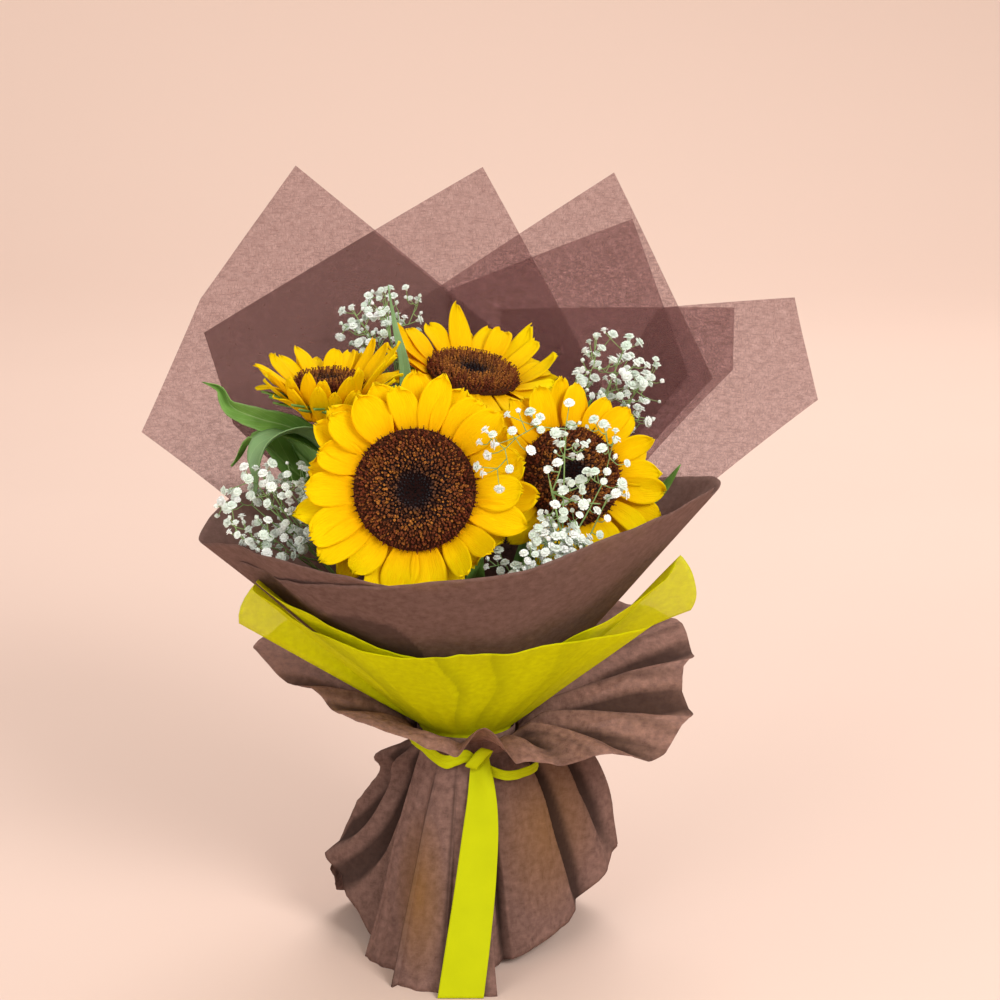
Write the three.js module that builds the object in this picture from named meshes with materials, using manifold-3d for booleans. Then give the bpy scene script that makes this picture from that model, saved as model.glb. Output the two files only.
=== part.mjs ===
// A hand-tied bunch of four sunflowers with gypsophila, in brown and yellow wrapping sheets.
// It stands on its level-cut stems and on the hem of its wrap.
// Millimetres and degrees, +Z up. The front of the bunch looks along -Y, and +X is to its right.
import * as THREE from "three";
import { mergeVertices } from "three/addons/utils/BufferGeometryUtils.js";
import Module from "manifold-3d";

const wasm = await Module();
wasm.setup();

// ---- driving dimensions ----
const TIE = 126; // height of the tie above the surface
const FLARE = 130; // height at which the sheets leave the tie and open
const SHEET = 0.7; // thickness of a wrapping sheet
const STEM = 5.2; // radius of a sunflower stem
const STEM_RING = 7.6; // the four sunflower stems stand on this radius at the tie
const STEM_FOOT = 26; // and on this one where they are cut off
const SPRIG = 1.6; // radius of a gypsophila stem
const SPRIG_RING = 14.6; // the gypsophila stems lie round the sunflower stems on this radius
const SPRIG_END = 84; // and are cut off at this height, inside the skirt
const TWINE_INNER = 17.2; // the twine that binds all the stems
const TWINE_OUTER = 20;
const FIRST_SHEET = 20.3; // inner radius of the innermost sheet at the tie
const LAYER_AT_TIE = 1.15; // from one sheet to the next at the tie
const LAYER_GROWTH = 1.6 / 300; // and how much that grows for each mm of height
const SKIRT_AT_TIE = 27.1;
const APRON_AT_TIE = 28.2;
const COLLAR_AT_TIE = 29.3;
const RIBBON_INNER = 30.6;
const RIBBON_OUTER = 31.6;
const RIBBON_BOTTOM = 118.5;
const RIBBON_TOP = 126.3;

// ---- colours ----
function surface(color, roughness) {
  return new THREE.MeshStandardMaterial({ color, roughness, metalness: 0 });
}
const PETAL = surface("#f7c600", 0.6);
const DISC = surface("#4a2312", 0.9);
const GREEN = surface("#4f7d33", 0.7);
const GYPSOPHILA = surface("#dfe8da", 0.8);
const BROWN = surface("#7b594f", 0.85);
const YELLOW = surface("#d0bd10", 0.85);
const RIBBON = surface("#dfe606", 0.7);
const TWINE = surface("#b79a6a", 0.9);

// ---- numbers, tables and dice ----
const { degToRad, lerp, clamp } = THREE.MathUtils;
const vec = (x, y, z) => new THREE.Vector3(x, y, z);
const cosine = (degrees) => Math.cos(degToRad(degrees));
const sine = (degrees) => Math.sin(degToRad(degrees));
const polar = (radius, degrees, z) => vec(radius * cosine(degrees), radius * sine(degrees), z);

// A wave with straight flanks and sharp folds, between -1 and 1.
const fold = (degrees) => (2 / Math.PI) * Math.asin(Math.sin(degToRad(degrees)));

// The value at key in rows of [key, value], straight between rows.
function along(rows, key) {
  let i = 0;
  while (i < rows.length - 2 && key > rows[i + 1][0]) i += 1;
  const [key0, value0] = rows[i];
  const [key1, value1] = rows[i + 1];
  return lerp(value0, value1, clamp((key - key0) / (key1 - key0), 0, 1));
}

// Numbers from 0 to 1 that are the same on every run.
function dice(seed) {
  let state = seed;
  return () => {
    state = (state * 1664525 + 1013904223) % 4294967296;
    return state / 4294967296;
  };
}

// ---- closed solids ----
function solidOf(geometry) {
  const bare = geometry.clone();
  bare.deleteAttribute("normal");
  bare.deleteAttribute("uv");
  const merged = mergeVertices(bare, 1e-3);
  return new wasm.Manifold(
    new wasm.Mesh({
      numProp: 3,
      vertProperties: merged.attributes.position.array,
      triVerts: new Uint32Array(merged.index.array),
    }),
  );
}

function geometryOf(solid) {
  const mesh = solid.getMesh();
  const geometry = new THREE.BufferGeometry();
  geometry.setAttribute("position", new THREE.BufferAttribute(mesh.vertProperties, 3));
  geometry.setIndex(new THREE.BufferAttribute(mesh.triVerts, 1));
  geometry.computeVertexNormals();
  return geometry;
}

// All the geometries joined into one closed solid, with any sealed hollow filled and edges shorter
// than JOIN drawn together.
const JOIN = 0.06;
function fused(geometries) {
  let solid = solidOf(geometries[0]);
  for (const geometry of geometries.slice(1)) solid = solid.add(solidOf(geometry));
  const bodies = solid.decompose();
  const whole = bodies.reduce((most, body) => (body.volume() > most.volume() ? body : most));
  return geometryOf(whole.simplify(JOIN));
}

function facesToGeometry(points, faces) {
  const geometry = new THREE.BufferGeometry().setFromPoints(points);
  geometry.setIndex(faces.flat());
  return geometry;
}

const bunch = new THREE.Group();
const placed = []; // the solids of the pieces added so far, in the bunch's own frame

function add(name, geometry, material, group = bunch) {
  const mesh = new THREE.Mesh(geometry, material);
  mesh.name = name;
  group.add(mesh);
  placed.push(solidOf(geometry.clone().applyMatrix4(group.matrix)));
}

// A blade, such as a petal or a leaf: sections with two sharp margins, a groove above and a keel
// below, which close to a point at the last station.
function blade(stations) {
  const points = [];
  const faces = [[0, 3, 1], [1, 3, 2]];
  const last = stations.length - 1;
  stations.forEach(({ at, across, up, half, cup, thick }, i) => {
    if (i === last) {
      points.push(at);
      return;
    }
    points.push(at.clone().addScaledVector(across, -half).addScaledVector(up, cup));
    points.push(at.clone().addScaledVector(up, -thick / 2));
    points.push(at.clone().addScaledVector(across, half).addScaledVector(up, cup));
    points.push(at.clone().addScaledVector(up, thick / 2));
  });
  for (let k = 0; k < last; k += 1) {
    for (let i = 0; i < 4; i += 1) {
      const a = 4 * k + i;
      const b = 4 * k + ((i + 1) % 4);
      if (k === last - 1) faces.push([a, b, 4 * last]);
      else faces.push([a, b, b + 4], [a, b + 4, a + 4]);
    }
  }
  return facesToGeometry(points, faces);
}

// A rod with flat sides along points.
function rod(points, radius, sides, steps) {
  const corners = Array.from({ length: sides }, (_, i) => {
    const turn = (360 * i) / sides;
    return new THREE.Vector2(radius * cosine(turn), radius * sine(turn));
  });
  const path = new THREE.CatmullRomCurve3(points, false, "centripetal");
  return new THREE.ExtrudeGeometry(new THREE.Shape(corners), { steps, extrudePath: path });
}

// A ring or a dome turned about the Z axis from [radius, height] pairs.
function turned(profile, segments) {
  const outline = profile.map(([radius, height]) => new THREE.Vector2(radius, height));
  return new THREE.LatheGeometry(outline, segments).rotateX(Math.PI / 2);
}

// A thin sheet over point(u, v), u to the left when it is seen from inside and v up. Both faces
// share one pattern of triangles. A closed sheet joins its last column to its first.
function sheet(us, vs, point, thickness = SHEET, closed = false) {
  const columns = us.length;
  const rows = vs.length;
  const inside = us.map((u) => vs.map((v) => point(u, v)));
  const column = (i) => (closed ? (i + columns) % columns : clamp(i, 0, columns - 1));
  const outside = inside.map((line, i) =>
    line.map((at, j) => {
      const sideways = inside[column(i + 1)][j].clone().sub(inside[column(i - 1)][j]);
      const upward = line[Math.min(j + 1, rows - 1)].clone().sub(line[Math.max(j - 1, 0)]);
      return at.clone().addScaledVector(sideways.cross(upward).normalize(), thickness);
    }),
  );
  const points = [...inside.flat(), ...outside.flat()];
  const inner = (i, j) => column(i) * rows + j;
  const outer = (i, j) => columns * rows + inner(i, j);
  const faces = [];
  const quad = (a, b, c, d) => faces.push([a, b, c], [a, c, d]);
  const spans = closed ? columns : columns - 1;
  for (let i = 0; i < spans; i += 1) {
    for (let j = 0; j < rows - 1; j += 1) {
      quad(outer(i, j), outer(i + 1, j), outer(i + 1, j + 1), outer(i, j + 1));
      faces.push([inner(i, j), inner(i + 1, j + 1), inner(i + 1, j)]);
      faces.push([inner(i, j), inner(i, j + 1), inner(i + 1, j + 1)]);
    }
    quad(inner(i, 0), inner(i + 1, 0), outer(i + 1, 0), outer(i, 0));
    quad(outer(i, rows - 1), outer(i + 1, rows - 1), inner(i + 1, rows - 1), inner(i, rows - 1));
  }
  for (let j = 0; j < rows - 1 && !closed; j += 1) {
    quad(inner(0, j), outer(0, j), outer(0, j + 1), inner(0, j + 1));
    quad(outer(spans, j), inner(spans, j), inner(spans, j + 1), outer(spans, j + 1));
  }
  return facesToGeometry(points, faces);
}

const evenly = (from, to, count) =>
  Array.from({ length: count + 1 }, (_, i) => lerp(from, to, i / count));

// ---- sunflowers ----
// at is the middle of the disc. The face looks along a line that rises by lean and points to turn
// on the plan. disc is the radius of the disc, ray the free length of a petal, cup how far the
// petals rise, and rays how many there are in each of the two rows.
const HEADS = {
  front: { at: [-25, -88, 287], lean: 15, turn: 269, disc: 32, ray: 27, cup: 10, rays: 13, seed: 11 },
  right: { at: [57, -55, 286], lean: 24, turn: 290, disc: 27, ray: 25, cup: 16, rays: 12, seed: 23 },
  top: { at: [4, 22, 324], lean: 72, turn: 272, disc: 26, ray: 25, cup: 30, rays: 12, seed: 37 },
  left: { at: [-73, -26, 328], lean: 79, turn: 262, disc: 19, ray: 20, cup: 38, rays: 11, seed: 41 },
};

function headMatrix({ at, lean, turn }) {
  const facing = vec(cosine(lean) * cosine(turn), cosine(lean) * sine(turn), sine(lean));
  const side = vec(-sine(turn), cosine(turn), 0);
  const matrix = new THREE.Matrix4().makeBasis(side, facing.clone().cross(side), facing);
  return matrix.setPosition(...at);
}

// One petal in the head's own frame, whose +Z is the way the face looks.
function petal({ turn, root, free, rootHeight, rise, droop, width, tilt }) {
  const outward = polar(1, turn, 0);
  const sideways = vec(-sine(turn), cosine(turn), 0);
  const shape = [
    { t: -0.2, w: 0.4 },
    { t: 0.04, w: 0.66 },
    { t: 0.58, w: 1 },
    { t: 1, w: 0 },
  ];
  const height = (t) => rootHeight + free * (Math.tan(degToRad(rise)) * Math.max(t, 0) - droop * t * t);
  const stations = shape.map(({ t, w }) => {
    const slope = Math.atan2(height(t + 0.05) - height(t - 0.05), 0.1 * free);
    const up = vec(0, 0, Math.cos(slope)).addScaledVector(outward, -Math.sin(slope));
    const along = outward.clone().multiplyScalar(Math.cos(slope)).add(vec(0, 0, Math.sin(slope)));
    const lean = degToRad(tilt * clamp(t * 2, 0, 1));
    const across = sideways.clone().applyAxisAngle(along, lean);
    up.applyAxisAngle(along, lean);
    const at = outward.clone().multiplyScalar(root + free * t).setZ(height(t));
    return { at, across, up, half: (width * w) / 2, cup: 0.07 * width * w, thick: 1.1 };
  });
  return blade(stations);
}

// The ray florets: a ring round the receptacle with two rows of petals.
function rays(head) {
  const roll = dice(head.seed);
  const between = (low, high) => lerp(low, high, roll());
  const ring = turned(
    [
      [head.disc - 9, -5.8], [head.disc - 1.5, -5.8], [head.disc - 1.5, -1.2], [head.disc - 9, -1.2],
      [head.disc - 9, -5.8],
    ],
    16,
  );
  const pieces = [ring];
  const step = 360 / head.rays;
  const width = 1.02 * degToRad(step) * (head.disc + 0.45 * head.ray);
  for (const row of [0, 1]) {
    for (let i = 0; i < head.rays; i += 1) {
      pieces.push(
        petal({
          turn: step * (i + row / 2) + between(-2, 2),
          root: head.disc + 0.5,
          free: head.ray * between(0.88, 1.06) * (row ? 1.04 : 0.96),
          rootHeight: row ? -4.7 : -2.2,
          rise: head.cup + (row ? -8 : 4) + between(-2, 3),
          droop: between(0.02, 0.14),
          width: width * between(0.84, 0.96),
          tilt: between(3, 8),
        }),
      );
    }
  }
  return fused(pieces);
}

// The disc: a dome whose florets stand up as relief in spirals, with a dip in the middle.
function disc(head) {
  const rings = 6;
  const sectors = 26;
  const points = [vec(0, 0, 3.2)];
  for (let ring = 1; ring <= rings; ring += 1) {
    const radius = (head.disc * ring) / rings;
    const dome = 3 + 2.6 * Math.sin(Math.PI * clamp(ring / rings, 0.1, 0.92));
    for (let i = 0; i < sectors; i += 1) {
      const floret = (ring + i) % 2 ? 0.9 : -0.7;
      const height = ring === rings ? 0.6 + 0.5 * floret : dome + floret;
      points.push(polar(radius, (360 * (i + 0.5 * ring)) / sectors, height));
    }
  }
  const rim = points.slice(-sectors).map((p) => vec(p.x * 0.97, p.y * 0.97, -0.9));
  points.push(...rim, vec(0, 0, -0.9));
  const at = (ring, i) => 1 + (ring - 1) * sectors + (i % sectors);
  const faces = [];
  for (let i = 0; i < sectors; i += 1) {
    faces.push([0, at(1, i), at(1, i + 1)]);
    for (let ring = 1; ring <= rings; ring += 1) {
      faces.push([at(ring, i), at(ring + 1, i), at(ring + 1, i + 1)]);
      faces.push([at(ring, i), at(ring + 1, i + 1), at(ring, i + 1)]);
    }
    faces.push([at(rings + 1, i), points.length - 1, at(rings + 1, i + 1)]);
  }
  return facesToGeometry(points, faces);
}

// The green receptacle behind the disc, with its pointed bracts.
function calyx(head) {
  const edge = head.disc - 2;
  const cup = turned(
    [[0, -20], [STEM * 0.9, -20], [edge * 0.6, -15], [edge, -9], [edge, -6.1], [0, -6.1]],
    10,
  );
  const pieces = [cup];
  const bracts = 9;
  for (let i = 0; i < bracts; i += 1) {
    const turn = (360 * (i + 0.3)) / bracts;
    const outward = polar(1, turn, 0);
    const rise = Math.tan(degToRad(head.cup * 0.75 - 16));
    const stations = [[-5, 3.4], [4, 4.6], [16, 0]].map(([out, half]) => ({
      at: outward.clone().multiplyScalar(edge + out).setZ(-8 + rise * Math.max(out, 0)),
      across: vec(-sine(turn), cosine(turn), 0),
      up: vec(0, 0, 1),
      half,
      cup: 0.2,
      thick: 1.2,
    }));
    pieces.push(blade(stations));
  }
  return pieces.map((piece) => piece.applyMatrix4(headMatrix(head)));
}

// A leaf on a curve from base over bend to tip. side is roughly the way its width goes.
function leaf({ base, bend, tip, side, width, wave = 0.1 }) {
  const curve = new THREE.QuadraticBezierCurve3(vec(...base), vec(...bend), vec(...tip));
  const outline = [[0, 0.16], [0.16, 0.6], [0.34, 0.95], [0.52, 1], [0.7, 0.8], [0.86, 0.42], [1, 0]];
  const stations = outline.map(([t, w], i) => {
    const along = curve.getTangent(t);
    const up = along.clone().cross(vec(...side)).normalize().negate();
    const across = up.clone().cross(along).normalize();
    const half = (width / 2) * w * (i % 2 ? 1 + wave : 1 - wave);
    return { at: curve.getPoint(t), across, up, half, cup: 0.25 * half, thick: 1.1 };
  });
  return blade(stations);
}

// Where each sunflower's stem stands: the angle of its place in the tie, the points it passes
// above the tie, and its leaves.
const STEMS = {
  front: {
    turn: 225,
    way: [[-12, -20, 180], [-21, -38, 235], [-26, -54, 266]],
    leaves: [
      { base: [-14, -24, 192], bend: [10, -72, 232], tip: [8, -104, 250], side: [1, 0, 0.2], width: 20 },
    ],
  },
  right: {
    turn: 315,
    way: [[18, -10, 180], [33, -16, 232], [43, -24, 258]],
    leaves: [
      { base: [34, -17, 236], bend: [92, 8, 256], tip: [124, -14, 289], side: [0, 1, 0.5], width: 24 },
      { base: [28, -14, 215], bend: [66, -40, 220], tip: [96, -58, 246], side: [1, 1, 0], width: 22 },
    ],
  },
  top: {
    turn: 45,
    way: [[5, 16, 190], [4, 26, 250], [4, 29, 285]],
    leaves: [
      { base: [5, 16, 216], bend: [44, 34, 262], tip: [70, 40, 306], side: [0.4, -1, 0], width: 26 },
    ],
  },
  left: {
    turn: 135,
    way: [[-26, 2, 185], [-54, -8, 240], [-70, -18, 285]],
    leaves: [
      { base: [-50, -5, 232], bend: [-36, 1, 290], tip: [-43, -2, 378], side: [1, 0.3, 0], width: 9 },
      { base: [-66, -14, 280], bend: [-112, -30, 306], tip: [-152, -8, 312], side: [1, 5, 2], width: 22 },
      { base: [-60, -11, 256], bend: [-100, -38, 322], tip: [-118, -58, 270], side: [5, -2, 0], width: 24 },
      { base: [-55, -7, 246], bend: [-110, 6, 270], tip: [-132, -22, 290], side: [0, 1, -0.3], width: 28 },
      { base: [-41, -1, 214], bend: [-62, 34, 250], tip: [-84, 50, 290], side: [1, 1, 0], width: 26 },
    ],
  },
};

// The stem, its leaves and the calyx, as one green piece. The foot is cut level.
function greenery(head, { turn, way, leaves }) {
  const foot = polar(STEM_FOOT, turn + 50, 0);
  const behind = new THREE.Vector3(0, 0, -30).applyMatrix4(headMatrix(head));
  const neck = new THREE.Vector3(0, 0, -14).applyMatrix4(headMatrix(head));
  const points = [
    foot,
    foot.clone().setZ(5),
    polar(STEM_RING * 1.1, turn + 14, 98),
    polar(STEM_RING, turn, TIE - 8),
    polar(STEM_RING, turn, TIE + 8),
    ...way.map((at) => vec(...at)),
    behind,
    neck,
  ];
  return fused([rod(points, STEM, 6, 18), ...calyx(head), ...leaves.map(leaf)]);
}

for (const [name, head] of Object.entries(HEADS)) {
  const group = new THREE.Group();
  group.applyMatrix4(headMatrix(head));
  bunch.add(group);
  add(`sunflower_${name}_rays`, rays(head), PETAL, group);
  add(`sunflower_${name}_disc`, disc(head), DISC, group);
  add(`sunflower_${name}_stem`, greenery(head, STEMS[name]), GREEN);
}

// ---- twine round the stems ----
const twineProfile = [
  [TWINE_INNER, -6], [TWINE_OUTER - 1, -6], [TWINE_OUTER, -3], [TWINE_OUTER, 3], [TWINE_OUTER - 1, 6],
  [TWINE_INNER, 6], [TWINE_INNER, -6],
];
add("twine", turned(twineProfile, 18).translate(0, 0, TIE), TWINE);

// ---- wrapping sheets behind the flowers ----
// Each corner is [x, height] as seen from the front; the sheets lie on a flattened cone. They are
// listed from the flowers outwards, each with its corners from right to left.
const BACK_SHEETS = {
  wrap_back_1: [[126, 314], [95, 397], [-10, 357]],
  wrap_back_2: [[151, 318], [152, 351], [20, 346]],
  wrap_back_3: [[80, 300], [9, 424], [-149, 337]],
  wrap_back_4: [[140, 312], [85, 421], [-60, 330]],
  wrap_back_5: [[196, 307], [186, 357], [110, 348]],
  wrap_back_6: [[30, 322], [-99, 425], [-152, 354], [-181, 289]],
};
const BACK_WIDE = 1.03; // half the width the cone gains for each mm of height
const BACK_DEEP = 0.33; // and its depth
const LOW_EDGE = 114; // the sheets end here, just under the tie
const SHEET_GATHER = 0.5; // how far a sheet's sides are drawn together at the tie

const layerStep = (height) => LAYER_AT_TIE + LAYER_GROWTH * Math.max(height - FLARE, 0);
const opening = (height) => Math.max(height - FLARE, 0);
const ripple = (degrees, height) => 0.01 * opening(height) * sine(6 * degrees + 0.8 * height);

function backRadii(layer, height) {
  const base = FIRST_SHEET + layer * layerStep(height);
  return [base + BACK_WIDE * opening(height), base + BACK_DEEP * opening(height)];
}

// us and the points of the top edge, with the corners among them.
function topEdge(corners, perLeg) {
  const points = [];
  corners.slice(1).forEach((corner, leg) => {
    for (let i = leg ? 1 : 0; i <= perLeg; i += 1) {
      points.push(corners[leg].map((value, axis) => lerp(value, corner[axis], i / perLeg)));
    }
  });
  return points;
}

Object.entries(BACK_SHEETS).forEach(([name, corners], layer) => {
  const edge = topEdge(corners, 4);
  const point = (i, v) => {
    const [x, top] = edge[i];
    const topTurn = THREE.MathUtils.radToDeg(Math.acos(x / backRadii(layer, top)[0]));
    const height = v <= 1 ? lerp(LOW_EDGE, FLARE, v) : lerp(FLARE, top, v - 1);
    const share = (height - LOW_EDGE) / (top - LOW_EDGE);
    const turn = 90 + (topTurn - 90) * lerp(SHEET_GATHER, 1, share);
    const [wide, deep] = backRadii(layer, height);
    const wave = ripple(turn, height);
    return vec(wide * cosine(turn), (deep + wave) * sine(turn), height);
  };
  add(name, sheet(edge.map((_, i) => i), [0, 1, 1.33, 1.67, 2], point), BROWN);
});

// ---- wrapping sheets in front ----
// slope is how far the sheet goes outwards for each mm of height, and rim the height of its upper
// edge, both by the angle on the plan, from the left round the front to the right.
const BROWN_SLOPE = [
  [150, 0.5], [160, 0.66], [169, 0.855], [178, 1.1], [183, 1.15], [194, 1.05], [208, 0.92], [224, 0.92],
  [242, 0.895], [254, 0.86], [267, 0.825], [284, 0.797], [303, 0.75], [326, 0.765], [341, 0.77],
  [356, 0.81], [368, 0.77], [375, 0.7], [382, 0.6], [390, 0.5],
];
const FRONT_SHEETS = {
  wrap_front_inner: {
    layer: 2,
    slope: BROWN_SLOPE,
    rim: [
      [150, 250], [160, 256], [169, 254], [178, 240], [184, 237], [202, 248], [224, 253], [242, 249],
      [256, 242], [270, 243], [290, 253],
    ],
    material: BROWN,
  },
  wrap_front_outer: {
    layer: 3,
    slope: BROWN_SLOPE,
    rim: [
      [216, 238], [226, 238], [243, 243], [254, 245], [267, 249], [284, 253], [291, 257], [303, 265],
      [326, 274], [341, 277], [346, 270], [360, 270], [375, 263], [390, 254],
    ],
    material: BROWN,
  },
  yellow_inner: {
    layer: 4,
    slope: [
      [209, 1], [242, 0.975], [270, 0.915], [300, 0.86], [318, 0.93], [330, 0.98], [339, 0.93], [343, 1.12],
    ],
    rim: [[209, 229], [242, 199], [270, 188], [300, 190], [318, 206], [330, 226], [339, 240], [343, 226]],
    material: YELLOW,
  },
  yellow_outer: {
    layer: 5,
    slope: [
      [194, 1.63], [203, 1.25], [209, 1.1], [222, 1.06], [240, 1.03], [255, 1], [270, 0.965], [287, 0.94],
      [303, 0.96], [311, 1], [318, 1.08], [330, 1.22], [344, 1.27],
    ],
    rim: [
      [194, 194], [202, 212], [210, 215], [222, 203], [229, 204], [236, 199], [250, 196], [268, 200],
      [287, 199], [299, 204], [311, 203], [325, 200], [335, 205], [344, 214],
    ],
    material: YELLOW,
  },
};

for (const [name, { layer, slope, rim, material }] of Object.entries(FRONT_SHEETS)) {
  const first = rim[0][0];
  const last = rim[rim.length - 1][0];
  const columns = evenly(first, last, Math.round((last - first) / 10));
  const point = (turn, v) => {
    const height = v <= 1 ? lerp(LOW_EDGE, FLARE, v) : lerp(FLARE, along(rim, turn), v - 1);
    const radius = FIRST_SHEET + layer * layerStep(height) + along(slope, turn) * opening(height);
    return polar(radius, turn, height);
  };
  add(name, sheet(columns, [0, 1, 1.33, 1.67, 2], point), material);
}

// ---- gathered collar above the ribbon ----
// The rim of the collar by the angle on the plan: how far out and how high it is.
const COLLAR_REACH = [
  [0, 124], [9, 130], [22, 130], [35, 118], [60, 98], [90, 86], [120, 94], [150, 108], [168, 116],
  [176, 120], [187, 98], [196, 82], [203, 84], [230, 65], [252, 58], [266, 58], [277, 58], [290, 66], [308, 76],
  [320, 89], [338, 118], [351, 127], [360, 124],
];
const COLLAR_HEIGHT = [
  [0, 154], [9, 163], [22, 175], [40, 178], [60, 172], [90, 165], [120, 168], [150, 174], [168, 174],
  [176, 167], [187, 158], [196, 152], [203, 148], [230, 140], [252, 133], [266, 137], [277, 147], [290, 127],
  [308, 126], [320, 128], [338, 127], [351, 144], [360, 154],
];
const COLLAR_PLEATS = 17;
const COLLAR_BOTTOM = 119;
const COLLAR_FLARE = 127;

const collarPoint = (turn, v) => {
  if (v <= 1) return polar(COLLAR_AT_TIE, turn, lerp(COLLAR_BOTTOM, COLLAR_FLARE, v));
  const out = v - 1;
  const lift = 5 * 4 * out * (1 - out);
  const pleat = fold(COLLAR_PLEATS * turn) * 2.8 * out;
  const radius = lerp(COLLAR_AT_TIE, along(COLLAR_REACH, turn), out);
  return polar(radius, turn, lerp(COLLAR_FLARE, along(COLLAR_HEIGHT, turn), out) + lift + pleat);
};
const collarColumns = evenly(0, 360, 2 * COLLAR_PLEATS)
  .slice(0, -1)
  .map((turn) => turn + 90 / COLLAR_PLEATS);
add("collar", sheet(collarColumns, [0, 1, 1.25, 1.55, 2], collarPoint, SHEET, true), BROWN);

// ---- skirt below the ribbon ----
// The hem by the angle on the plan: its radius, its height, and how square the shoulder is that
// the sheet makes under the ribbon, from 1, straight, towards 0, square.
const SKIRT_REACH = [
  [-84, 58], [-66, 51], [-45, 51], [-20, 56], [0, 68], [14, 90], [30, 88], [50, 82], [90, 78], [130, 80],
  [155, 84], [173, 81], [185, 69], [198, 58], [207, 52],
];
const SKIRT_HEM = [
  [-84, 0], [-60, 4], [-30, 10], [-14, 14], [0, 24], [14, 47], [30, 22], [50, 0], [135, 0], [155, 12],
  [173, 46], [185, 26], [198, 9], [207, 3],
];
const SKIRT_SHOULDER = [
  [-84, 0.9], [-60, 0.8], [-30, 0.55], [0, 0.27], [20, 0.27], [60, 0.5], [120, 0.55], [160, 0.8],
  [207, 0.9],
];
const SKIRT_FROM = -84;
const SKIRT_TO = 207;
const SKIRT_PLEATS = 21.65;
const SKIRT_TOP = 129.5;
const SKIRT_FLARE = 118;

function skirtPoint(atTie, reach, hem, shoulder, pleat) {
  return (turn, v) => {
    if (v >= 1) return polar(atTie, turn, lerp(SKIRT_FLARE, SKIRT_TOP, v - 1));
    const down = 1 - v;
    const spread = Math.pow(down, along(shoulder, turn));
    const radius = lerp(atTie, along(reach, turn), spread) + pleat(turn) * down;
    return polar(radius, turn, lerp(SKIRT_FLARE, along(hem, turn), down));
  };
}
const SKIRT_ROWS = [0, 0.4, 0.8, 1, 2];
const backPleat = (turn) => 2.6 * fold(SKIRT_PLEATS * (turn - SKIRT_FROM) + 90);
const skirt = skirtPoint(SKIRT_AT_TIE, SKIRT_REACH, SKIRT_HEM, SKIRT_SHOULDER, backPleat);
add("skirt_back", sheet(evenly(SKIRT_FROM, SKIRT_TO, 35), SKIRT_ROWS, skirt), BROWN);

// The front panel of the skirt, with a fold that steps out near its left side.
const APRON_REACH = [[208, 67], [226, 63], [234, 61], [240, 80], [259, 77], [270, 81], [282, 83]];
const apronPleat = (turn) => 1.6 * fold(22 * (turn - 208));
const APRON_HEM = [[208, 0], [282, 0]];
const APRON_SHOULDER = [[208, 0.95], [282, 0.95]];
const apron = skirtPoint(APRON_AT_TIE, APRON_REACH, APRON_HEM, APRON_SHOULDER, apronPleat);
const apronColumns = [208, 213, 218, 224, 229, 234, 240, 246, 252, 259, 265, 270, 276, 282];
add("skirt_front", sheet(apronColumns, SKIRT_ROWS, apron), BROWN);

// ---- ribbon: a band round the waist, a knot and one tail down to the surface ----
const KNOT = [8, -33.9, 121.5];
const band = turned(
  [
    [RIBBON_INNER, RIBBON_BOTTOM], [RIBBON_OUTER, RIBBON_BOTTOM], [RIBBON_OUTER, RIBBON_TOP],
    [RIBBON_INNER, RIBBON_TOP], [RIBBON_INNER, RIBBON_BOTTOM],
  ],
  24,
);
const knot = new THREE.SphereGeometry(1, 8, 6).scale(8, 4.2, 5.4).translate(...KNOT);
const TAIL_MIDDLE = [[0, -2], [30, 2], [60, 6], [95, 9], [121, 8]];
const TAIL_HALF = [[0, 12], [40, 11], [75, 9], [105, 6], [121, 4.5]];
const tailPoint = (u, v) => {
  const height = lerp(0, KNOT[2], v);
  const down = clamp(1 - height / SKIRT_FLARE, 0, 1);
  const out = APRON_AT_TIE + SHEET + 3.4 + 53.4 * Math.pow(down, 0.95);
  return vec(along(TAIL_MIDDLE, height) + u * along(TAIL_HALF, height), -out, height);
};
const tail = sheet([-1, -0.33, 0.33, 1], [0, 0.15, 0.35, 0.55, 0.75, 0.9, 1], tailPoint, 0.8);
add("ribbon", fused([band, knot, tail]), RIBBON);

// ---- gypsophila ----
// turn is the place of the stem in the tie, way the points it passes, crown the middle of the
// spray, and spread how far the florets reach from it along X, Y and Z.
const SPRAYS = {
  left: {
    turn: 180,
    way: [[-34, -22, 180], [-66, -40, 222]],
    crown: [-100, -58, 268],
    spread: [30, 20, 26],
    florets: 21,
    seed: 5,
  },
  back: {
    turn: 120,
    way: [[-16, 32, 200], [-38, 52, 285]],
    crown: [-42, 56, 350],
    spread: [32, 14, 22],
    florets: 20,
    seed: 6,
  },
  upper_right: {
    turn: 20,
    way: [[32, 16, 200], [54, 24, 260]],
    crown: [80, 16, 318],
    spread: [28, 20, 30],
    florets: 21,
    seed: 7,
  },
  middle: {
    turn: 300,
    way: [[17, -30, 176], [44, -66, 214], [53, -90, 246]],
    crown: [44, -95, 296],
    spread: [34, 10, 28],
    florets: 21,
    seed: 8,
  },
  lower_right: {
    turn: 270,
    way: [[8, -36, 176], [22, -68, 212]],
    crown: [32, -97, 254],
    spread: [36, 13, 18],
    florets: 22,
    seed: 9,
  },
};
const FLORET = 2.7; // radius of a floret
const TWIG = 0.6; // radius of a twig
const GAP = 0.6; // the least distance from a twig to any other piece
const PROBE = 2.5; // the radius round a twig that its own spray keeps free at the floret

// A three-sided twig that widens into its floret.
function floretOnTwig(fork, end) {
  const along = end.clone().sub(fork);
  const length = along.length();
  const outline = [[0, 0], [TWIG, 0], [TWIG, length - FLORET], [FLORET, length], [0, length + FLORET]];
  const upright = new THREE.Quaternion().setFromUnitVectors(vec(0, 0, 1), along.normalize());
  return turned(outline, 3).applyQuaternion(upright).translate(...fork);
}

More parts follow.
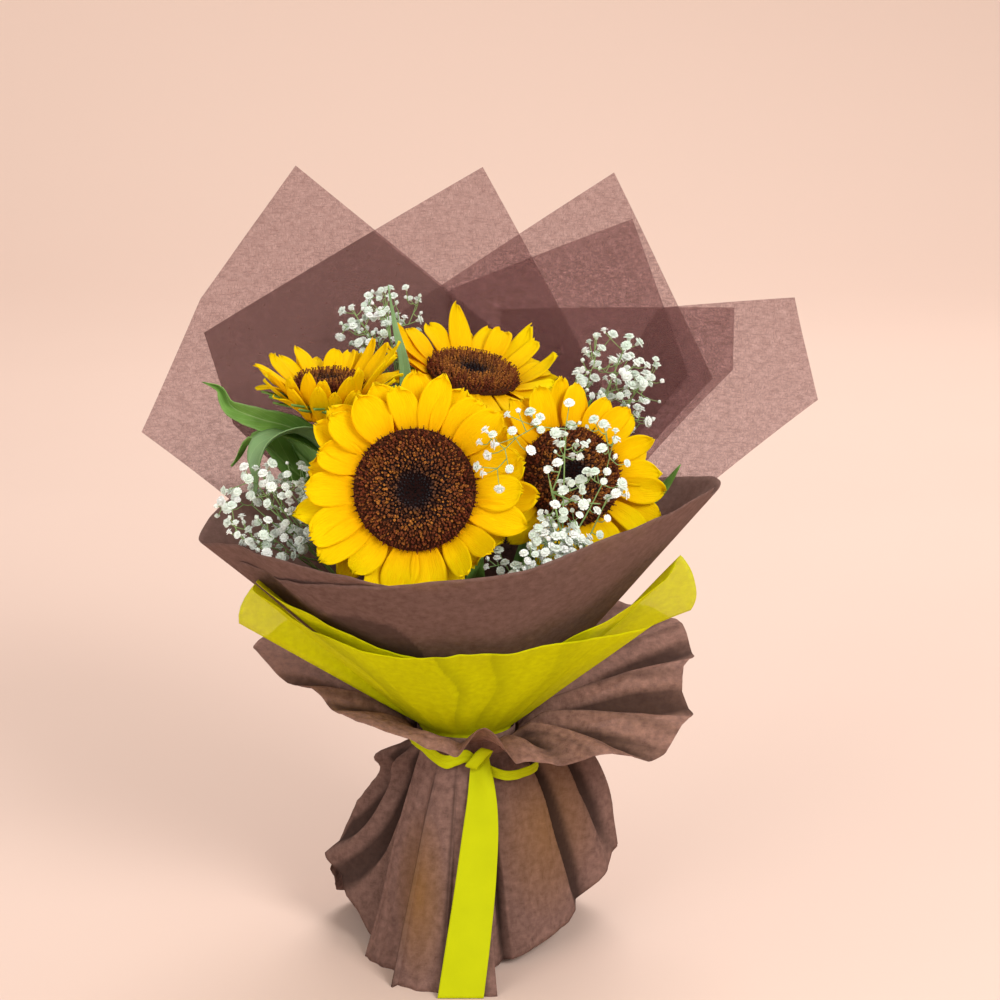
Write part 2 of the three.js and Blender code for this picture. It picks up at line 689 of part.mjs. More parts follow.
// The twigs of a spray: each runs from a fork near the crown to its floret, clear of what is there.
function twigs({ way, crown, spread, florets, seed }) {
  const roll = dice(seed);
  const centre = vec(...crown);
  const start = vec(...way[way.length - 1]);
  const ends = [];
  const pieces = [];
  for (let tries = 0; tries < 1500 && pieces.length < florets; tries += 1) {
    const turn = 360 * roll();
    const height = 2 * roll() - 1;
    const reach = Math.cbrt(0.25 + 0.75 * roll());
    const flat = Math.sqrt(1 - height * height);
    const offset = vec(flat * cosine(turn) * spread[0], flat * sine(turn) * spread[1], height * spread[2]);
    const end = centre.clone().addScaledVector(offset, reach);
    const fork = start.clone().lerp(centre, 0.35 + 0.6 * roll());
    if (ends.some((other) => other.distanceTo(end) < PROBE * FLORET)) continue;
    const piece = floretOnTwig(fork, end);
    const solid = solidOf(piece);
    if (placed.some((other) => other.minGap(solid, GAP) < GAP)) continue;
    ends.push(end);
    pieces.push(piece);
  }
  return pieces;
}

function spray(plan) {
  const ring = (height) => polar(SPRIG_RING, plan.turn, height);
  const way = plan.way.map((at) => vec(...at));
  const top = way[way.length - 1].clone().lerp(vec(...plan.crown), 0.95);
  const foot = polar(SPRIG_RING + 4, plan.turn + 10, SPRIG_END);
  const stalk = rod([foot, ring(TIE - 10), ring(TIE), ring(TIE + 10), ...way, top], SPRIG, 5, 12);
  return fused([stalk, ...twigs(plan)]);
}

for (const [name, plan] of Object.entries(SPRAYS)) {
  add(`gypsophila_${name}`, spray(plan), GYPSOPHILA);
}

// The origin is on the surface, below the middle of the bunch.
const centre = new THREE.Box3().setFromObject(bunch).getCenter(new THREE.Vector3());
bunch.position.set(-centre.x, -centre.y, 0);

export default bunch;
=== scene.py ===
from math import acos, asin, atan2, cos, degrees, exp, hypot, pi, radians, sin, sqrt, tan

import bmesh
import bpy
from mathutils import Matrix, Quaternion, Vector, noise


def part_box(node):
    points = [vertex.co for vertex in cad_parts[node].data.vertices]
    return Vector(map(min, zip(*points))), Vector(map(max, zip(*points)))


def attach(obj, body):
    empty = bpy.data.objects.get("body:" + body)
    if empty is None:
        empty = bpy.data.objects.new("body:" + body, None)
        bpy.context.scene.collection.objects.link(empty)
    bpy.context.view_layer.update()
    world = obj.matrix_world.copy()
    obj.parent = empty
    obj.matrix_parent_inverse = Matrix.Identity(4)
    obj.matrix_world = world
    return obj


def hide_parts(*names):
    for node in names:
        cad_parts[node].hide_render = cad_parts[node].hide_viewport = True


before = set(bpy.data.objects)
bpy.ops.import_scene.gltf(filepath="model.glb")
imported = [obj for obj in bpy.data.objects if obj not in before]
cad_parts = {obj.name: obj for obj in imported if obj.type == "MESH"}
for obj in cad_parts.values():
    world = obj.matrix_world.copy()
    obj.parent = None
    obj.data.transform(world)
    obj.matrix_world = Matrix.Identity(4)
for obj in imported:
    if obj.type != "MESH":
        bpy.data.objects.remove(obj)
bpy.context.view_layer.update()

# ---- camera ----
# A 98 mm lens that looks 15 degrees down on the bunch from one and a half metres.
# Lengths are in millimetres from the axis of the tie on the surface, as in the solids.
twine_low, twine_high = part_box("twine")
AXIS = (twine_low + twine_high) / 2


def at(x, y, z):
    """The point x, y, z millimetres from the axis of the tie, in the row frame."""
    return Vector((AXIS.x + x / 1000, AXIS.y + y / 1000, z / 1000))


CAMERA_PLACE = (19, -1448.9, 646.2)
CAMERA_PITCH = 15
camera = bpy.data.objects.new("camera", bpy.data.cameras.new("camera"))
camera.data.lens = 98.2
camera.data.sensor_width = 36
camera.location = at(*CAMERA_PLACE)
camera.rotation_euler = (radians(90 - CAMERA_PITCH), 0, 0)
camera.data.clip_start = 0.05
camera.data.clip_end = 60
bpy.context.scene.collection.objects.link(camera)
bpy.context.scene.camera = camera


# ---- floor and light ----
# A pale floor that curves up into a wall far behind, painted paler towards the wall as painted light
# where less of the lamps' light reaches, a large soft lamp in front on the right, a weaker one on the
# left and one behind, which shines through the thin sheets.
class Nodes:
    """A new material's node tree, with short ways to add and join its nodes."""

    def __init__(self, name):
        self.material = bpy.data.materials.new(name)
        self.material.use_nodes = True
        self.tree = self.material.node_tree
        self.tree.nodes.clear()

    def put(self, socket, value):
        """Joins socket to value, or sets it if value is a number, a colour or a vector."""
        if isinstance(value, bpy.types.NodeSocket):
            self.tree.links.new(value, socket)
        elif socket.type == "RGBA":
            socket.default_value = (*value, 1)
        else:
            socket.default_value = value

    def add(self, kind, **settings):
        """A node; a name that isn't a setting of the node is an input, with underscores for spaces."""
        node = self.tree.nodes.new("ShaderNode" + kind)
        for name, value in settings.items():
            if hasattr(node, name):
                setattr(node, name, value)
            else:
                self.put(node.inputs[name.replace("_", " ")], value)
        return node

    def joined(self, kind, values, inputs=(0, 1, 2), output=0, **settings):
        """The output of a node with values on its inputs of those numbers."""
        node = self.add(kind, **settings)
        for i, value in zip(inputs, values):
            self.put(node.inputs[i], value)
        return node.outputs[output]

    def mix(self, share, first, second):
        """Two colours mixed by share."""
        return self.joined("Mix", (share, first, second), (0, 6, 7), 2, data_type="RGBA")

    def blended(self, share, first, second):
        """Two shaders mixed by share."""
        return self.joined("MixShader", (share, first, second))

    def math(self, operation, first, second=0):
        """The result of a Math node."""
        return self.joined("Math", (first, second), operation=operation)

    def times(self, first, second):
        """The product of two values."""
        return self.math("MULTIPLY", first, second)

    def plus(self, first, second):
        """The sum of two values."""
        return self.math("ADD", first, second)

    def ramp(self, value, *stops):
        """The colour that value gives on a ramp of (position, colour), where a number is a grey."""
        node = self.add("ValToRGB", Fac=value)
        elements = node.color_ramp.elements
        for i, (place, colour) in enumerate(stops):
            element = elements[i] if i < 2 else elements.new(place)
            element.position = place
            element.color = (*colour, 1) if isinstance(colour, tuple) else (colour, colour, colour, 1)
        return node.outputs["Color"]

    def where(self):
        """The place on the piece, in metres."""
        return self.add("TexCoord").outputs["Object"]

    def axis(self, vector, name):
        """The X, Y or Z of vector."""
        return self.add("SeparateXYZ", Vector=vector).outputs[name]

    def layer(self, name):
        """The values in that layer of the net."""
        return self.add("Attribute", attribute_name=name).outputs["Fac"]

    def speckle(self, vector, scale, detail=3.0, stretch=(1, 1, 1)):
        """Noise from 0 to 1 over vector."""
        turned = self.add("Mapping", Vector=vector, Scale=stretch).outputs[0]
        return self.add("TexNoise", Vector=turned, Scale=scale, Detail=detail).outputs[0]

    def bump(self, height, strength, distance):
        """A normal bent by height; distance is in metres."""
        return self.add("Bump", Height=height, Strength=strength, Distance=distance).outputs[0]

    def thin(self, through, colour, glow_bent=True, **surface):
        """A shader that lets that share of the light through, bent there too if glow_bent."""
        skin = self.add("BsdfPrincipled", Base_Color=colour, **surface)
        glow = self.add("BsdfTranslucent", Color=colour)
        if glow_bent:
            self.put(glow.inputs["Normal"], surface["Normal"])
        return self.blended(through, skin.outputs[0], glow.outputs[0])

    def finish(self, shader):
        """The material, which shows shader."""
        self.add("OutputMaterial", Surface=shader)
        return self.material

    def solid(self, colour, **surface):
        """The material, with a surface that no light passes."""
        return self.finish(self.add("BsdfPrincipled", Base_Color=colour, **surface).outputs[0])


def finished(name, bm, material, smooth=True):
    """bm as an object of that name with that material."""
    mesh = bpy.data.meshes.new(name)
    for face in bm.faces:
        face.smooth = smooth
    bm.to_mesh(mesh)
    bm.free()
    mesh.materials.append(material)
    piece = bpy.data.objects.new(name, mesh)
    bpy.context.scene.collection.objects.link(piece)
    return piece


paper = Nodes("pale_floor")
where = paper.where()
mottle = paper.ramp(paper.speckle(where, 1.3), (0.3, (0.665, 0.49, 0.407)), (0.7, (0.70, 0.52, 0.435)))
# painted light: the floor is painted paler further back and up the wall, where the lamps give less light
far = paper.ramp(paper.times(paper.axis(where, "Y"), 0.3), (0.3, 0), (0.85, 1))
pale = paper.mix(far, mottle, (0.85, 0.635, 0.53))
FLOOR_REACH = 5.0
WALL_BEND = 1.2  # the radius in metres of the curve between floor and wall
WALL_FOOT = 2.0
floor_bm = bmesh.new()
for corner in bmesh.ops.create_grid(floor_bm, x_segments=1, y_segments=60, size=FLOOR_REACH)["verts"]:
    past = corner.co.y - WALL_FOOT
    if past > WALL_BEND * pi / 2:
        corner.co = (corner.co.x, WALL_FOOT + WALL_BEND, past - WALL_BEND * (pi / 2 - 1))
    elif past > 0:
        bend = past / WALL_BEND
        corner.co = (corner.co.x, WALL_FOOT + WALL_BEND * sin(bend), WALL_BEND * (1 - cos(bend)))
floor = finished("floor", floor_bm, paper.solid(pale, Roughness=0.9))

LIGHT_TARGET = Vector((0, 0, 0.22))


def lamp(name, place, power, size):
    """A square lamp at place, in metres, that faces the flowers."""
    light = bpy.data.objects.new(name, bpy.data.lights.new(name, "AREA"))
    light.data.energy = power
    light.data.size = size
    light.location = place
    light.rotation_euler = (LIGHT_TARGET - light.location).to_track_quat("-Z", "Y").to_euler()
    bpy.context.scene.collection.objects.link(light)


lamp("key_lamp", (1.4, -1.9, 1.8), 60, 1.1)
lamp("fill_lamp", (-1.5, -2.0, 1.1), 26, 1.6)
lamp("back_lamp", (0.4, 1.4, 1.9), 30, 1.4)
world = bpy.data.worlds.new("studio")
world.use_nodes = True
background = world.node_tree.nodes["Background"]
background.inputs["Color"].default_value = (1.0, 0.95, 0.91, 1)
background.inputs["Strength"].default_value = 0.62
bpy.context.scene.world = world
bpy.context.scene.view_settings.view_transform = "Standard"


# ---- sunflower petals ----
# The yellow ray florets of each head, in two overlapping rows on the edge of the receptacle. Each
# is a thin blade with two long furrows and a waved margin, broad in the middle and blunt at its tip.
def dice(seed):
    """Numbers from 0 to 1 with no order to them, the same on every run."""
    state = seed
    while True:
        state = (state * 1664525 + 1013904223) % 4294967296
        yield state / 4294967296


def clamp(value):
    """value, kept between 0 and 1."""
    return min(max(value, 0), 1)


def lerp(a, b, share):
    """The value that lies share of the way from a to b."""
    return a + (b - a) * share


def line(rows, key):
    """The value at key in rows of (key, value), on a smooth line through them."""
    last = len(rows) - 1
    i = 0
    while i < last - 1 and key > rows[i + 1][0]:
        i += 1
    (k0, v0), (k1, v1) = rows[i], rows[i + 1]
    before, after = rows[max(i - 1, 0)], rows[min(i + 2, last)]
    t = clamp((key - k0) / (k1 - k0))
    rise0 = (v1 - before[1]) / (k1 - before[0]) * (k1 - k0)
    rise1 = (after[1] - v0) / (after[0] - k0) * (k1 - k0)
    curve = (2 * t**3 - 3 * t**2 + 1) * v0 + (t**3 - 2 * t**2 + t) * rise0
    return curve + (3 * t**2 - 2 * t**3) * v1 + (t**3 - t**2) * rise1


def grid(bm, columns, rows, place, tint=0.0):
    """A net of columns by rows faces in bm, each corner where place(u, v) puts it in the row frame.
    tint is one number for the whole net, or gives each corner its own from u and v."""
    tints = bm.verts.layers.float["tint"]
    made = bmesh.ops.create_grid(bm, x_segments=columns, y_segments=rows, size=0.5, calc_uvs=True)
    for corner in made["verts"]:
        u, v = corner.co.x + 0.5, corner.co.y + 0.5
        corner.co = place(u, v)
        corner[tints] = tint(u, v) if callable(tint) else tint


def net():
    """An empty bmesh with the layers that the materials read."""
    bm = bmesh.new()
    bm.loops.layers.uv.new("UVMap")
    bm.verts.layers.float.new("tint")
    bm.verts.layers.float.new("reach")
    return bm


def thicken(piece, thickness):
    """Gives a thin piece its thickness, in metres, half to each side of its net."""
    wall = piece.modifiers.new("thickness", "SOLIDIFY")
    wall.thickness = thickness
    wall.offset = 0


# Lean and turn say which way a head faces, cup how steeply its petals rise and wide how far they
# overlap. Near changes the petals on the viewer's side: more rise, a lower start, a shorter length.
HEADS = {
    "front": dict(
        at=(-25, -88, 287), lean=15, turn=269, disc=32, ray=29, cup=10, rays=18, wide=1.3, blunt=0.42,
        near=(0, 0, 0), seed=11,
    ),
    "right": dict(
        at=(57, -55, 286), lean=24, turn=290, disc=27, ray=25, cup=16, rays=17, wide=1.08, blunt=0.3,
        near=(0, 0, 0), seed=23,
    ),
    "top": dict(
        at=(4, 22, 324), lean=75, turn=318, disc=26, ray=25, cup=30, rays=18, wide=1.15, blunt=0.45,
        near=(-48, 0, 0), seed=37,
    ),
    "left": dict(
        at=(-73, -26, 328), lean=86, turn=262, disc=19, ray=20, cup=38, rays=18, wide=1.1, blunt=0.25,
        near=(27, 9, 0.38), seed=41,
    ),
}
FLARE = 130  # the height from which the sheets spread out
FIRST_SHEET = 20.65  # the radius there of the first sheet
# the slope of the brown sheets in front, and the height of the edge that holds the petals in, by angle
BROWN_SLOPE = [
    (150, 0.5), (160, 0.66), (169, 0.855), (178, 1.1), (183, 1.15), (194, 1.05), (208, 0.92), (224, 0.92),
    (242, 0.895), (254, 0.86), (267, 0.825), (284, 0.797), (303, 0.75), (326, 0.765), (341, 0.77),
    (356, 0.81), (368, 0.77), (375, 0.7), (382, 0.6), (390, 0.5),
]
FRONT_RIM = [
    (150, 250), (184, 237), (224, 253), (254, 245), (284, 253), (303, 265), (341, 277), (360, 270),
    (390, 254),
]
OVERHANG = 1.6  # how far a petal may lean out over that edge for each mm that it is above it
PETAL_CLAW = 0.16  # the share of a petal that is hidden under the edge of the disc


def layer_step(height):
    """The distance from one sheet to the next at that height."""
    return 1.15 + 1.6 / 300 * max(height - FLARE, 0)


def within_wrap(place, gap):
    """A point of the axis frame, drawn in by gap from the front sheets where it would cross them."""
    turn = degrees(atan2(place.y, place.x)) % 360
    if turn < FRONT_RIM[-1][0] - 360:
        turn += 360
    if turn < FRONT_RIM[0][0]:
        return place
    over = max(place.z - line(FRONT_RIM, turn), 0)
    opening = max(place.z - over - FLARE, 0)
    limit = FIRST_SHEET + 2 * layer_step(place.z) + line(BROWN_SLOPE, turn) * opening - gap + OVERHANG * over
    share = min(limit / max(hypot(place.x, place.y), 1), 1)
    return Vector((place.x * share, place.y * share, place.z))


def head_matrix(head):
    """Takes a point in the head's own frame, whose +Z is the way it faces, to the axis frame."""
    turn, lean = radians(head["turn"]), radians(head["lean"])
    facing = Vector((cos(lean) * cos(turn), cos(lean) * sin(turn), sin(lean)))
    side = Vector((-sin(turn), cos(turn), 0))
    matrix = Matrix((side, facing.cross(side), facing)).transposed().to_4x4()
    return Matrix.Translation(Vector(head["at"])) @ matrix


def petal_point(matrix, petal, u, v):
    """The point of a petal at u across it and v along it, in the row frame."""
    across = 2 * u - 1
    blunt = petal["blunt"]
    outline = [
        (0, 0.42), (0.12, 0.62), (0.34, 0.9), (0.54, 1), (0.74, 0.84 + 0.15 * blunt),
        (0.88, 0.52 + 0.4 * blunt), (0.96, 0.22 + 0.56 * blunt), (1, 0.04 + 0.5 * blunt),
    ]
    half = petal["width"] / 2 * line(outline, v)
    t = (v - PETAL_CLAW) / (1 - PETAL_CLAW)
    tooth = 0.04 * (1 + cos(3 * pi * across + petal["phase"])) + 0.1 * blunt * across**2
    out = petal["root"] + petal["free"] * (t - tooth * v**9)
    height = petal["height"] + petal["free"] * (tan(radians(petal["rise"])) * t - petal["droop"] * t * t)
    height += petal["curl"] * petal["free"] * max(t - 0.35, 0) ** 2
    cup = 0.09 * petal["width"] * across**2 * petal["fold"]
    furrow = 0.26 * cos(5 * pi * across) - 0.5 * exp(-((across / 0.16) ** 2))
    wave = petal["wave"] * across**3 * sin(7 * v + petal["phase"]) * v
    sideways = across * half + petal["bend"] * t * t
    lean = radians(petal["tilt"] * clamp(2 * t) + petal["twist"] * max(t, 0))
    lift = cup + furrow * sin(pi * min(v * 1.05, 1)) + wave
    x = sideways * cos(lean) - lift * sin(lean)
    z = height + sideways * sin(lean) + lift * cos(lean)
    turn = radians(petal["turn"])
    local = Vector((out * cos(turn) - x * sin(turn), out * sin(turn) + x * cos(turn), z))
    return at(*within_wrap(matrix @ local, petal["gap"]))


petals = Nodes("sunflower_petal")
uv = petals.add("UVMap").outputs[0]
veins = petals.speckle(uv, 6.0, 4.0, (5, 0.7, 1))
yellow = petals.ramp(
    petals.axis(uv, "Y"),
    (0.0, (0.88, 0.38, 0.0)), (0.25, (0.92, 0.57, 0.0)), (0.55, (0.93, 0.72, 0.0)), (1.0, (0.94, 0.81, 0.0)),
)
# the tint turns petals orange: random tone, and painted shade on the upper, far side of each head and on the
# left head's near petals
yellow = petals.mix(petals.times(petals.layer("tint"), 0.4), yellow, (0.97, 0.48, 0.0))
yellow = petals.mix(petals.ramp(veins, (0.3, 0.34), (0.6, 0)), yellow, (0.86, 0.42, 0.0))
relief = petals.bump(veins, 0.5, 0.0008)
blade = petals.thin(0.3, yellow, Roughness=0.75, Specular_IOR_Level=0.06, Normal=relief)
petal_material = petals.finish(blade)

PETAL_COLUMNS = 10
PETAL_ROWS = 14
PETAL_THICKNESS = 0.0004
# of the upper and the lower row: the height of the petals' roots, their added rise and their length
ROW_HEIGHT = (-2.0, -4.4)
ROW_RISE = (4, -9)
ROW_LENGTH = (0.94, 1.06)
STUNTED = (294, 338)  # where the front flower's petals stay short and its upper row curls up
for name, head in HEADS.items():
    roll = dice(head["seed"])
    matrix = head_matrix(head)
    rays = net()
    step = 360 / head["rays"]
    width = head["wide"] * radians(step) * (head["disc"] + 0.45 * head["ray"])
    near_rise, near_sink, near_short = head["near"]
    for row in (0, 1):
        for i in range(head["rays"]):
            turn = step * (i + row / 2) + lerp(-5, 5, next(roll))
            near = max(-cos(radians(turn + head["turn"])), 0)
            stunted = name == "front" and STUNTED[0] < turn < STUNTED[1]
            curled = stunted and row == 0
            length = 0.7 if stunted else 1 - near_short * near
            petal = dict(
                turn=turn,
                root=head["disc"] + 0.5,
                free=head["ray"] * lerp(0.8, 1.1, next(roll)) * ROW_LENGTH[row] * length,
                height=ROW_HEIGHT[row] - near_sink * near,
                rise=head["cup"] + near_rise * near + ROW_RISE[row] + lerp(-5, 6, next(roll)) + 28 * curled,
                droop=lerp(0.02, 0.2, next(roll)),
                width=width * lerp(0.78, 1.05, next(roll)) * (0.72 if curled else 1),
                tilt=lerp(3, 9, next(roll)),
                twist=lerp(-22, 22, next(roll)),
                curl=lerp(-0.5, 0.6, next(roll)) + 1.2 * curled,
                fold=lerp(0.2, 2.0, next(roll)),
                wave=lerp(0.3, 1.3, next(roll)),
                bend=lerp(-4, 4, next(roll)),
                phase=6 * next(roll),
                blunt=head["blunt"] + lerp(-0.35, 0.35, next(roll)),
                gap=1.5 + 0.7 * (1 - row) + 0.5 * next(roll),
            )
            # painted shade on the left head's near petals and on each head's upper, far side, over a random
            # tone
            shaded = 0.6 if name == "left" and near > 0.4 else 0
            tone_and_shade = 0.7 * next(roll) + 0.4 * (1 + sin(radians(turn))) + shaded
            grid(rays, PETAL_COLUMNS, PETAL_ROWS, lambda u, v: petal_point(matrix, petal, u, v), tone_and_shade)
    piece = finished(f"petals_{name}", rays, petal_material)
    thicken(piece, PETAL_THICKNESS)
    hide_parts(f"sunflower_{name}_rays")
    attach(piece, "root")


# ---- sunflower discs ----
# The brown middle of each head: hundreds of tubular florets on the spiral that every sunflower
# has, open round the edge and still shut, nearly black, in the dip in the middle.
def stamp(bm, shape, matrix, tint, reach=0.0):
    """Adds a copy of the small mesh shape to bm, placed by matrix."""
    first = len(bm.verts)
    bm.from_mesh(shape)
    bm.verts.ensure_lookup_table()
    tints = bm.verts.layers.float["tint"]
    reaches = bm.verts.layers.float["reach"]
    for corner in bm.verts[first:]:
        corner.co = matrix @ corner.co
        corner[tints] = tint
        corner[reaches] = reach


def small_shape(name, *cones):
    """A mesh of cones on each other, each (sides, lower radius, upper radius, foot, top)."""
    bm = net()
    for sides, lower, upper, foot, top in cones:
        place = Matrix.Translation((0, 0, (foot + top) / 2))
        bmesh.ops.create_cone(
            bm, cap_ends=True, segments=sides, radius1=lower, radius2=upper, depth=top - foot, matrix=place,
        )
    mesh = bpy.data.meshes.new(name)
    bm.to_mesh(mesh)
    bm.free()
    return mesh


bud = small_shape("bud", (6, 0.00062, 0.00075, -0.001, 0.0004), (6, 0.00075, 0.0002, 0.0004, 0.0012))
floret = small_shape(
    "floret", (5, 0.00045, 0.0007, -0.001, 0.0011), (4, 0.00032, 0.0002, 0.0011, 0.0024),
    (4, 0.0002, 0.00045, 0.0024, 0.0029),
)


def turned_shape(profile, steps):
    """A closed mesh of (radius, height) points turned round +Z, in mm."""
    bm = bmesh.new()
    rim = [bm.verts.new((r, 0, z)) for r, z in profile]
    edges = [bm.edges.new(pair) for pair in zip(rim, rim[1:])]
    bmesh.ops.spin(
        bm, geom=rim + edges, cent=(0, 0, 0), axis=(0, 0, 1), dvec=(0, 0, 0), angle=2 * pi, steps=steps,
        use_merge=True, use_duplicate=False,
    )
    bmesh.ops.remove_doubles(bm, verts=bm.verts, dist=0.02)
    bmesh.ops.recalc_face_normals(bm, faces=bm.faces)
    mesh = bpy.data.meshes.new("turned")
    bm.to_mesh(mesh)
    bm.free()
    return mesh


DOME = [(0, -0.6), (0.12, -0.2), (0.3, 2.4), (0.5, 4.0), (0.7, 4.3), (0.86, 3.4), (0.95, 2.0), (1, 0.6)]


def dome(share):
    """The height of the disc, in mm, at that share of its radius."""
    return line(DOME, share)


discs = Nodes("sunflower_disc")
reach = discs.layer("reach")
tint = discs.layer("tint")
zone = discs.ramp(
    reach,
    (0.0, 0.003), (0.13, (0.006, 0.007, 0.008)), (0.26, (0.034, 0.032, 0.036)), (0.36, (0.15, 0.056, 0.022)),
    (0.6, (0.235, 0.072, 0.023)), (0.84, (0.17, 0.038, 0.015)), (1.0, (0.11, 0.020, 0.011)),
)
amber = discs.ramp(reach, (0.3, 0), (0.46, 1), (0.8, 0.6), (1.0, 0.15))
fleck = discs.times(discs.ramp(tint, (0.62, 0), (0.85, 1)), amber)
brown = discs.mix(fleck, zone, (0.46, 0.17, 0.03))
brown = discs.mix(discs.ramp(tint, (0.0, 0.75), (0.35, 0)), brown, (0.016, 0.004, 0.003))
grain = discs.speckle(discs.where(), 900.0)
brown = discs.mix(discs.ramp(grain, (0.35, 0.5), (0.6, 0)), brown, (0.012, 0.004, 0.003))
relief = discs.bump(grain, 0.6, 0.0003)
disc_material = discs.solid(brown, Roughness=0.95, Specular_IOR_Level=0.08, Normal=relief)

GOLDEN_ANGLE = 137.508
FLORET_AREA = 2.7  # the square millimetres of disc that one floret takes
OPEN_FROM = 0.24  # the share of the radius inside which the florets are still shut
GROUND_RINGS = (0.001, 0.15, 0.3, 0.45, 0.6, 0.75, 0.88, 0.96, 0.99)
for name, head in HEADS.items():
    roll = dice(head["seed"] + 100)
    matrix = head_matrix(head)
    radius = head["disc"]
    profile = [(share * radius, dome(share) - 0.5) for share in GROUND_RINGS]
    profile += [(GROUND_RINGS[-1] * radius, -0.9), (GROUND_RINGS[0], -0.9)]
    ground = turned_shape(profile, 48)
    bm = net()
    bm.from_mesh(ground)
    reaches = bm.verts.layers.float["reach"]
    for corner in bm.verts:
        corner[reaches] = min(corner.co.xy.length / radius, 0.9) * 0.5
        corner.co = at(*(matrix @ corner.co))
    count = int(pi * radius**2 / FLORET_AREA)
    for i in range(count):
        share = min(sqrt((i + 0.5) / count) + 0.02 * (next(roll) - 0.5), 0.985)
        turn = radians(GOLDEN_ANGLE * i) + 0.03 * (next(roll) - 0.5) / share
        lean = 66 * max(share - 0.4, 0) ** 1.5 - 70 * max(0.4 - share, 0) + lerp(-24, 24, next(roll))
        outward = Vector((cos(turn), sin(turn), 0))
        up = (Vector((0, 0, 1)) * cos(radians(lean)) + outward * sin(radians(lean))).normalized()
        up = (matrix.to_3x3() @ up).normalized()
        foot = matrix @ (outward * share * radius + Vector((0, 0, dome(share) - 0.3)))
        spin = Quaternion((0, 0, 1), 2 * pi * next(roll))
        size = lerp(0.7, 1.3, next(roll)) * (1 if 0.3 < share < 0.92 else 0.75)
        place = (up.to_track_quat("Z", "Y") @ spin).to_matrix().to_4x4() @ Matrix.Scale(size, 4)
        # a random value for each floret, raised on the top head so that its disc has more amber flecks and
        # fewer dark florets
        fleck_value = min(next(roll) + 0.22 * (name == "top"), 1)
        shape = floret if share > OPEN_FROM else bud
        stamp(bm, shape, Matrix.Translation(at(*foot)) @ place, fleck_value, share)
    piece = finished(f"disc_{name}", bm, disc_material, smooth=False)
    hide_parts(f"sunflower_{name}_disc")
    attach(piece, "root")


# ---- sunflower stems, bracts and leaves ----
# The green of each sunflower: a round, finely streaked stem cut level at its foot, the cup of pointed
# bracts behind the head, and leaves with a sunken midrib, side veins and a waved margin.
STEM_RADIUS = 5.2
STEM_RING = 7.6  # how far the stems run from the axis at the tie, and at their feet
STEM_FOOT = 26
TIE = 126  # the height of the tie


def polar(radius, turn, height):
    """A point of the axis frame by its radius, its angle in degrees and its height."""
    return Vector((radius * cos(radians(turn)), radius * sin(radians(turn)), height))


def threaded(points, count):
    """count + 1 points on a smooth line through points."""
    ends = [points[0] * 2 - points[1], *points, points[-1] * 2 - points[-2]]
    lengths = [(b - a).length for a, b in zip(points, points[1:])]
    made = []
    for k in range(count + 1):
        way = sum(lengths) * k / count
        i = 0
        while i < len(lengths) - 1 and way > lengths[i]:
            way -= lengths[i]
            i += 1
        t = min(way / lengths[i], 1)
        a, b, c, d = ends[i:i + 4]
        flat = 2 * b + (c - a) * t + (2 * a - 5 * b + 4 * c - d) * t**2
        made.append(0.5 * (flat + (3 * b - a - 3 * c + d) * t**3))
    return made


def rods(name, lines, material, sides=8):
    """Round stems as one mesh. Each line is a list of (point in the axis frame, radius in mm)."""
    curve = bpy.data.curves.new(name, "CURVE")
    curve.dimensions = "3D"
    curve.bevel_depth = 0.001  # so that a radius of 1 is a millimetre
    curve.bevel_resolution = max((sides - 4) // 2, 0)
    curve.use_fill_caps = True
    for points in lines:
        spline = curve.splines.new("POLY")
        spline.points.add(len(points) - 1)
        for control, (place, radius) in zip(spline.points, points):
            control.co = (*at(*place), 1)
            control.radius = radius
    source = bpy.data.objects.new(name + "_line", curve)
    bpy.context.scene.collection.objects.link(source)
    mesh = bpy.data.meshes.new_from_object(source.evaluated_get(bpy.context.evaluated_depsgraph_get()))
    bpy.data.objects.remove(source)
    bpy.data.curves.remove(curve)
    mesh.materials.clear()
    mesh.materials.append(material)
    for face in mesh.polygons:
        face.use_smooth = True
    piece = bpy.data.objects.new(name, mesh)
    bpy.context.scene.collection.objects.link(piece)
    return piece


LEAF_COLUMNS = 12
LEAF_STEPS = 30
LEAF_THICKNESS = 0.0005
LEAF_GAP = 2.2
LEAF_OUTLINE = [
    (0, 0.16), (0.1, 0.42), (0.25, 0.84), (0.42, 1), (0.6, 0.9), (0.78, 0.55), (0.92, 0.2), (1, 0.03),
]


def add_leaf(bm, path, side, width, twist=0, cup=0.3, wave=0.05):
    """A leaf in bm along path, whose width goes about the way of side and turns by twist degrees."""
    spine = threaded([Vector(p) for p in path], LEAF_STEPS)

    def leaf_point(u, v):
        across = 2 * u - 1
        step = round(v * LEAF_STEPS)
        along = (spine[min(step + 1, LEAF_STEPS)] - spine[max(step - 1, 0)]).normalized()
        up = -along.cross(Vector(side)).normalized()
        up = Quaternion(along, radians(twist * v)) @ up
        sideways = up.cross(along).normalized()
        teeth = 1 + 0.03 * sin(60 * v + 2 * across)
        half = width / 2 * line(LEAF_OUTLINE, v) * teeth
        lift = cup * half * abs(across) ** 1.3 - 0.5 * (1 - min(abs(across) * 9, 1)) * (1 - v)
        lift += wave * width * across**2 * sin(13 * v + path[0][0])
        place = spine[step] + sideways * across * half * (1 - 0.12 * cup) + up * lift
        return at(*within_wrap(place, LEAF_GAP))

    grid(bm, LEAF_COLUMNS, LEAF_STEPS, leaf_point)


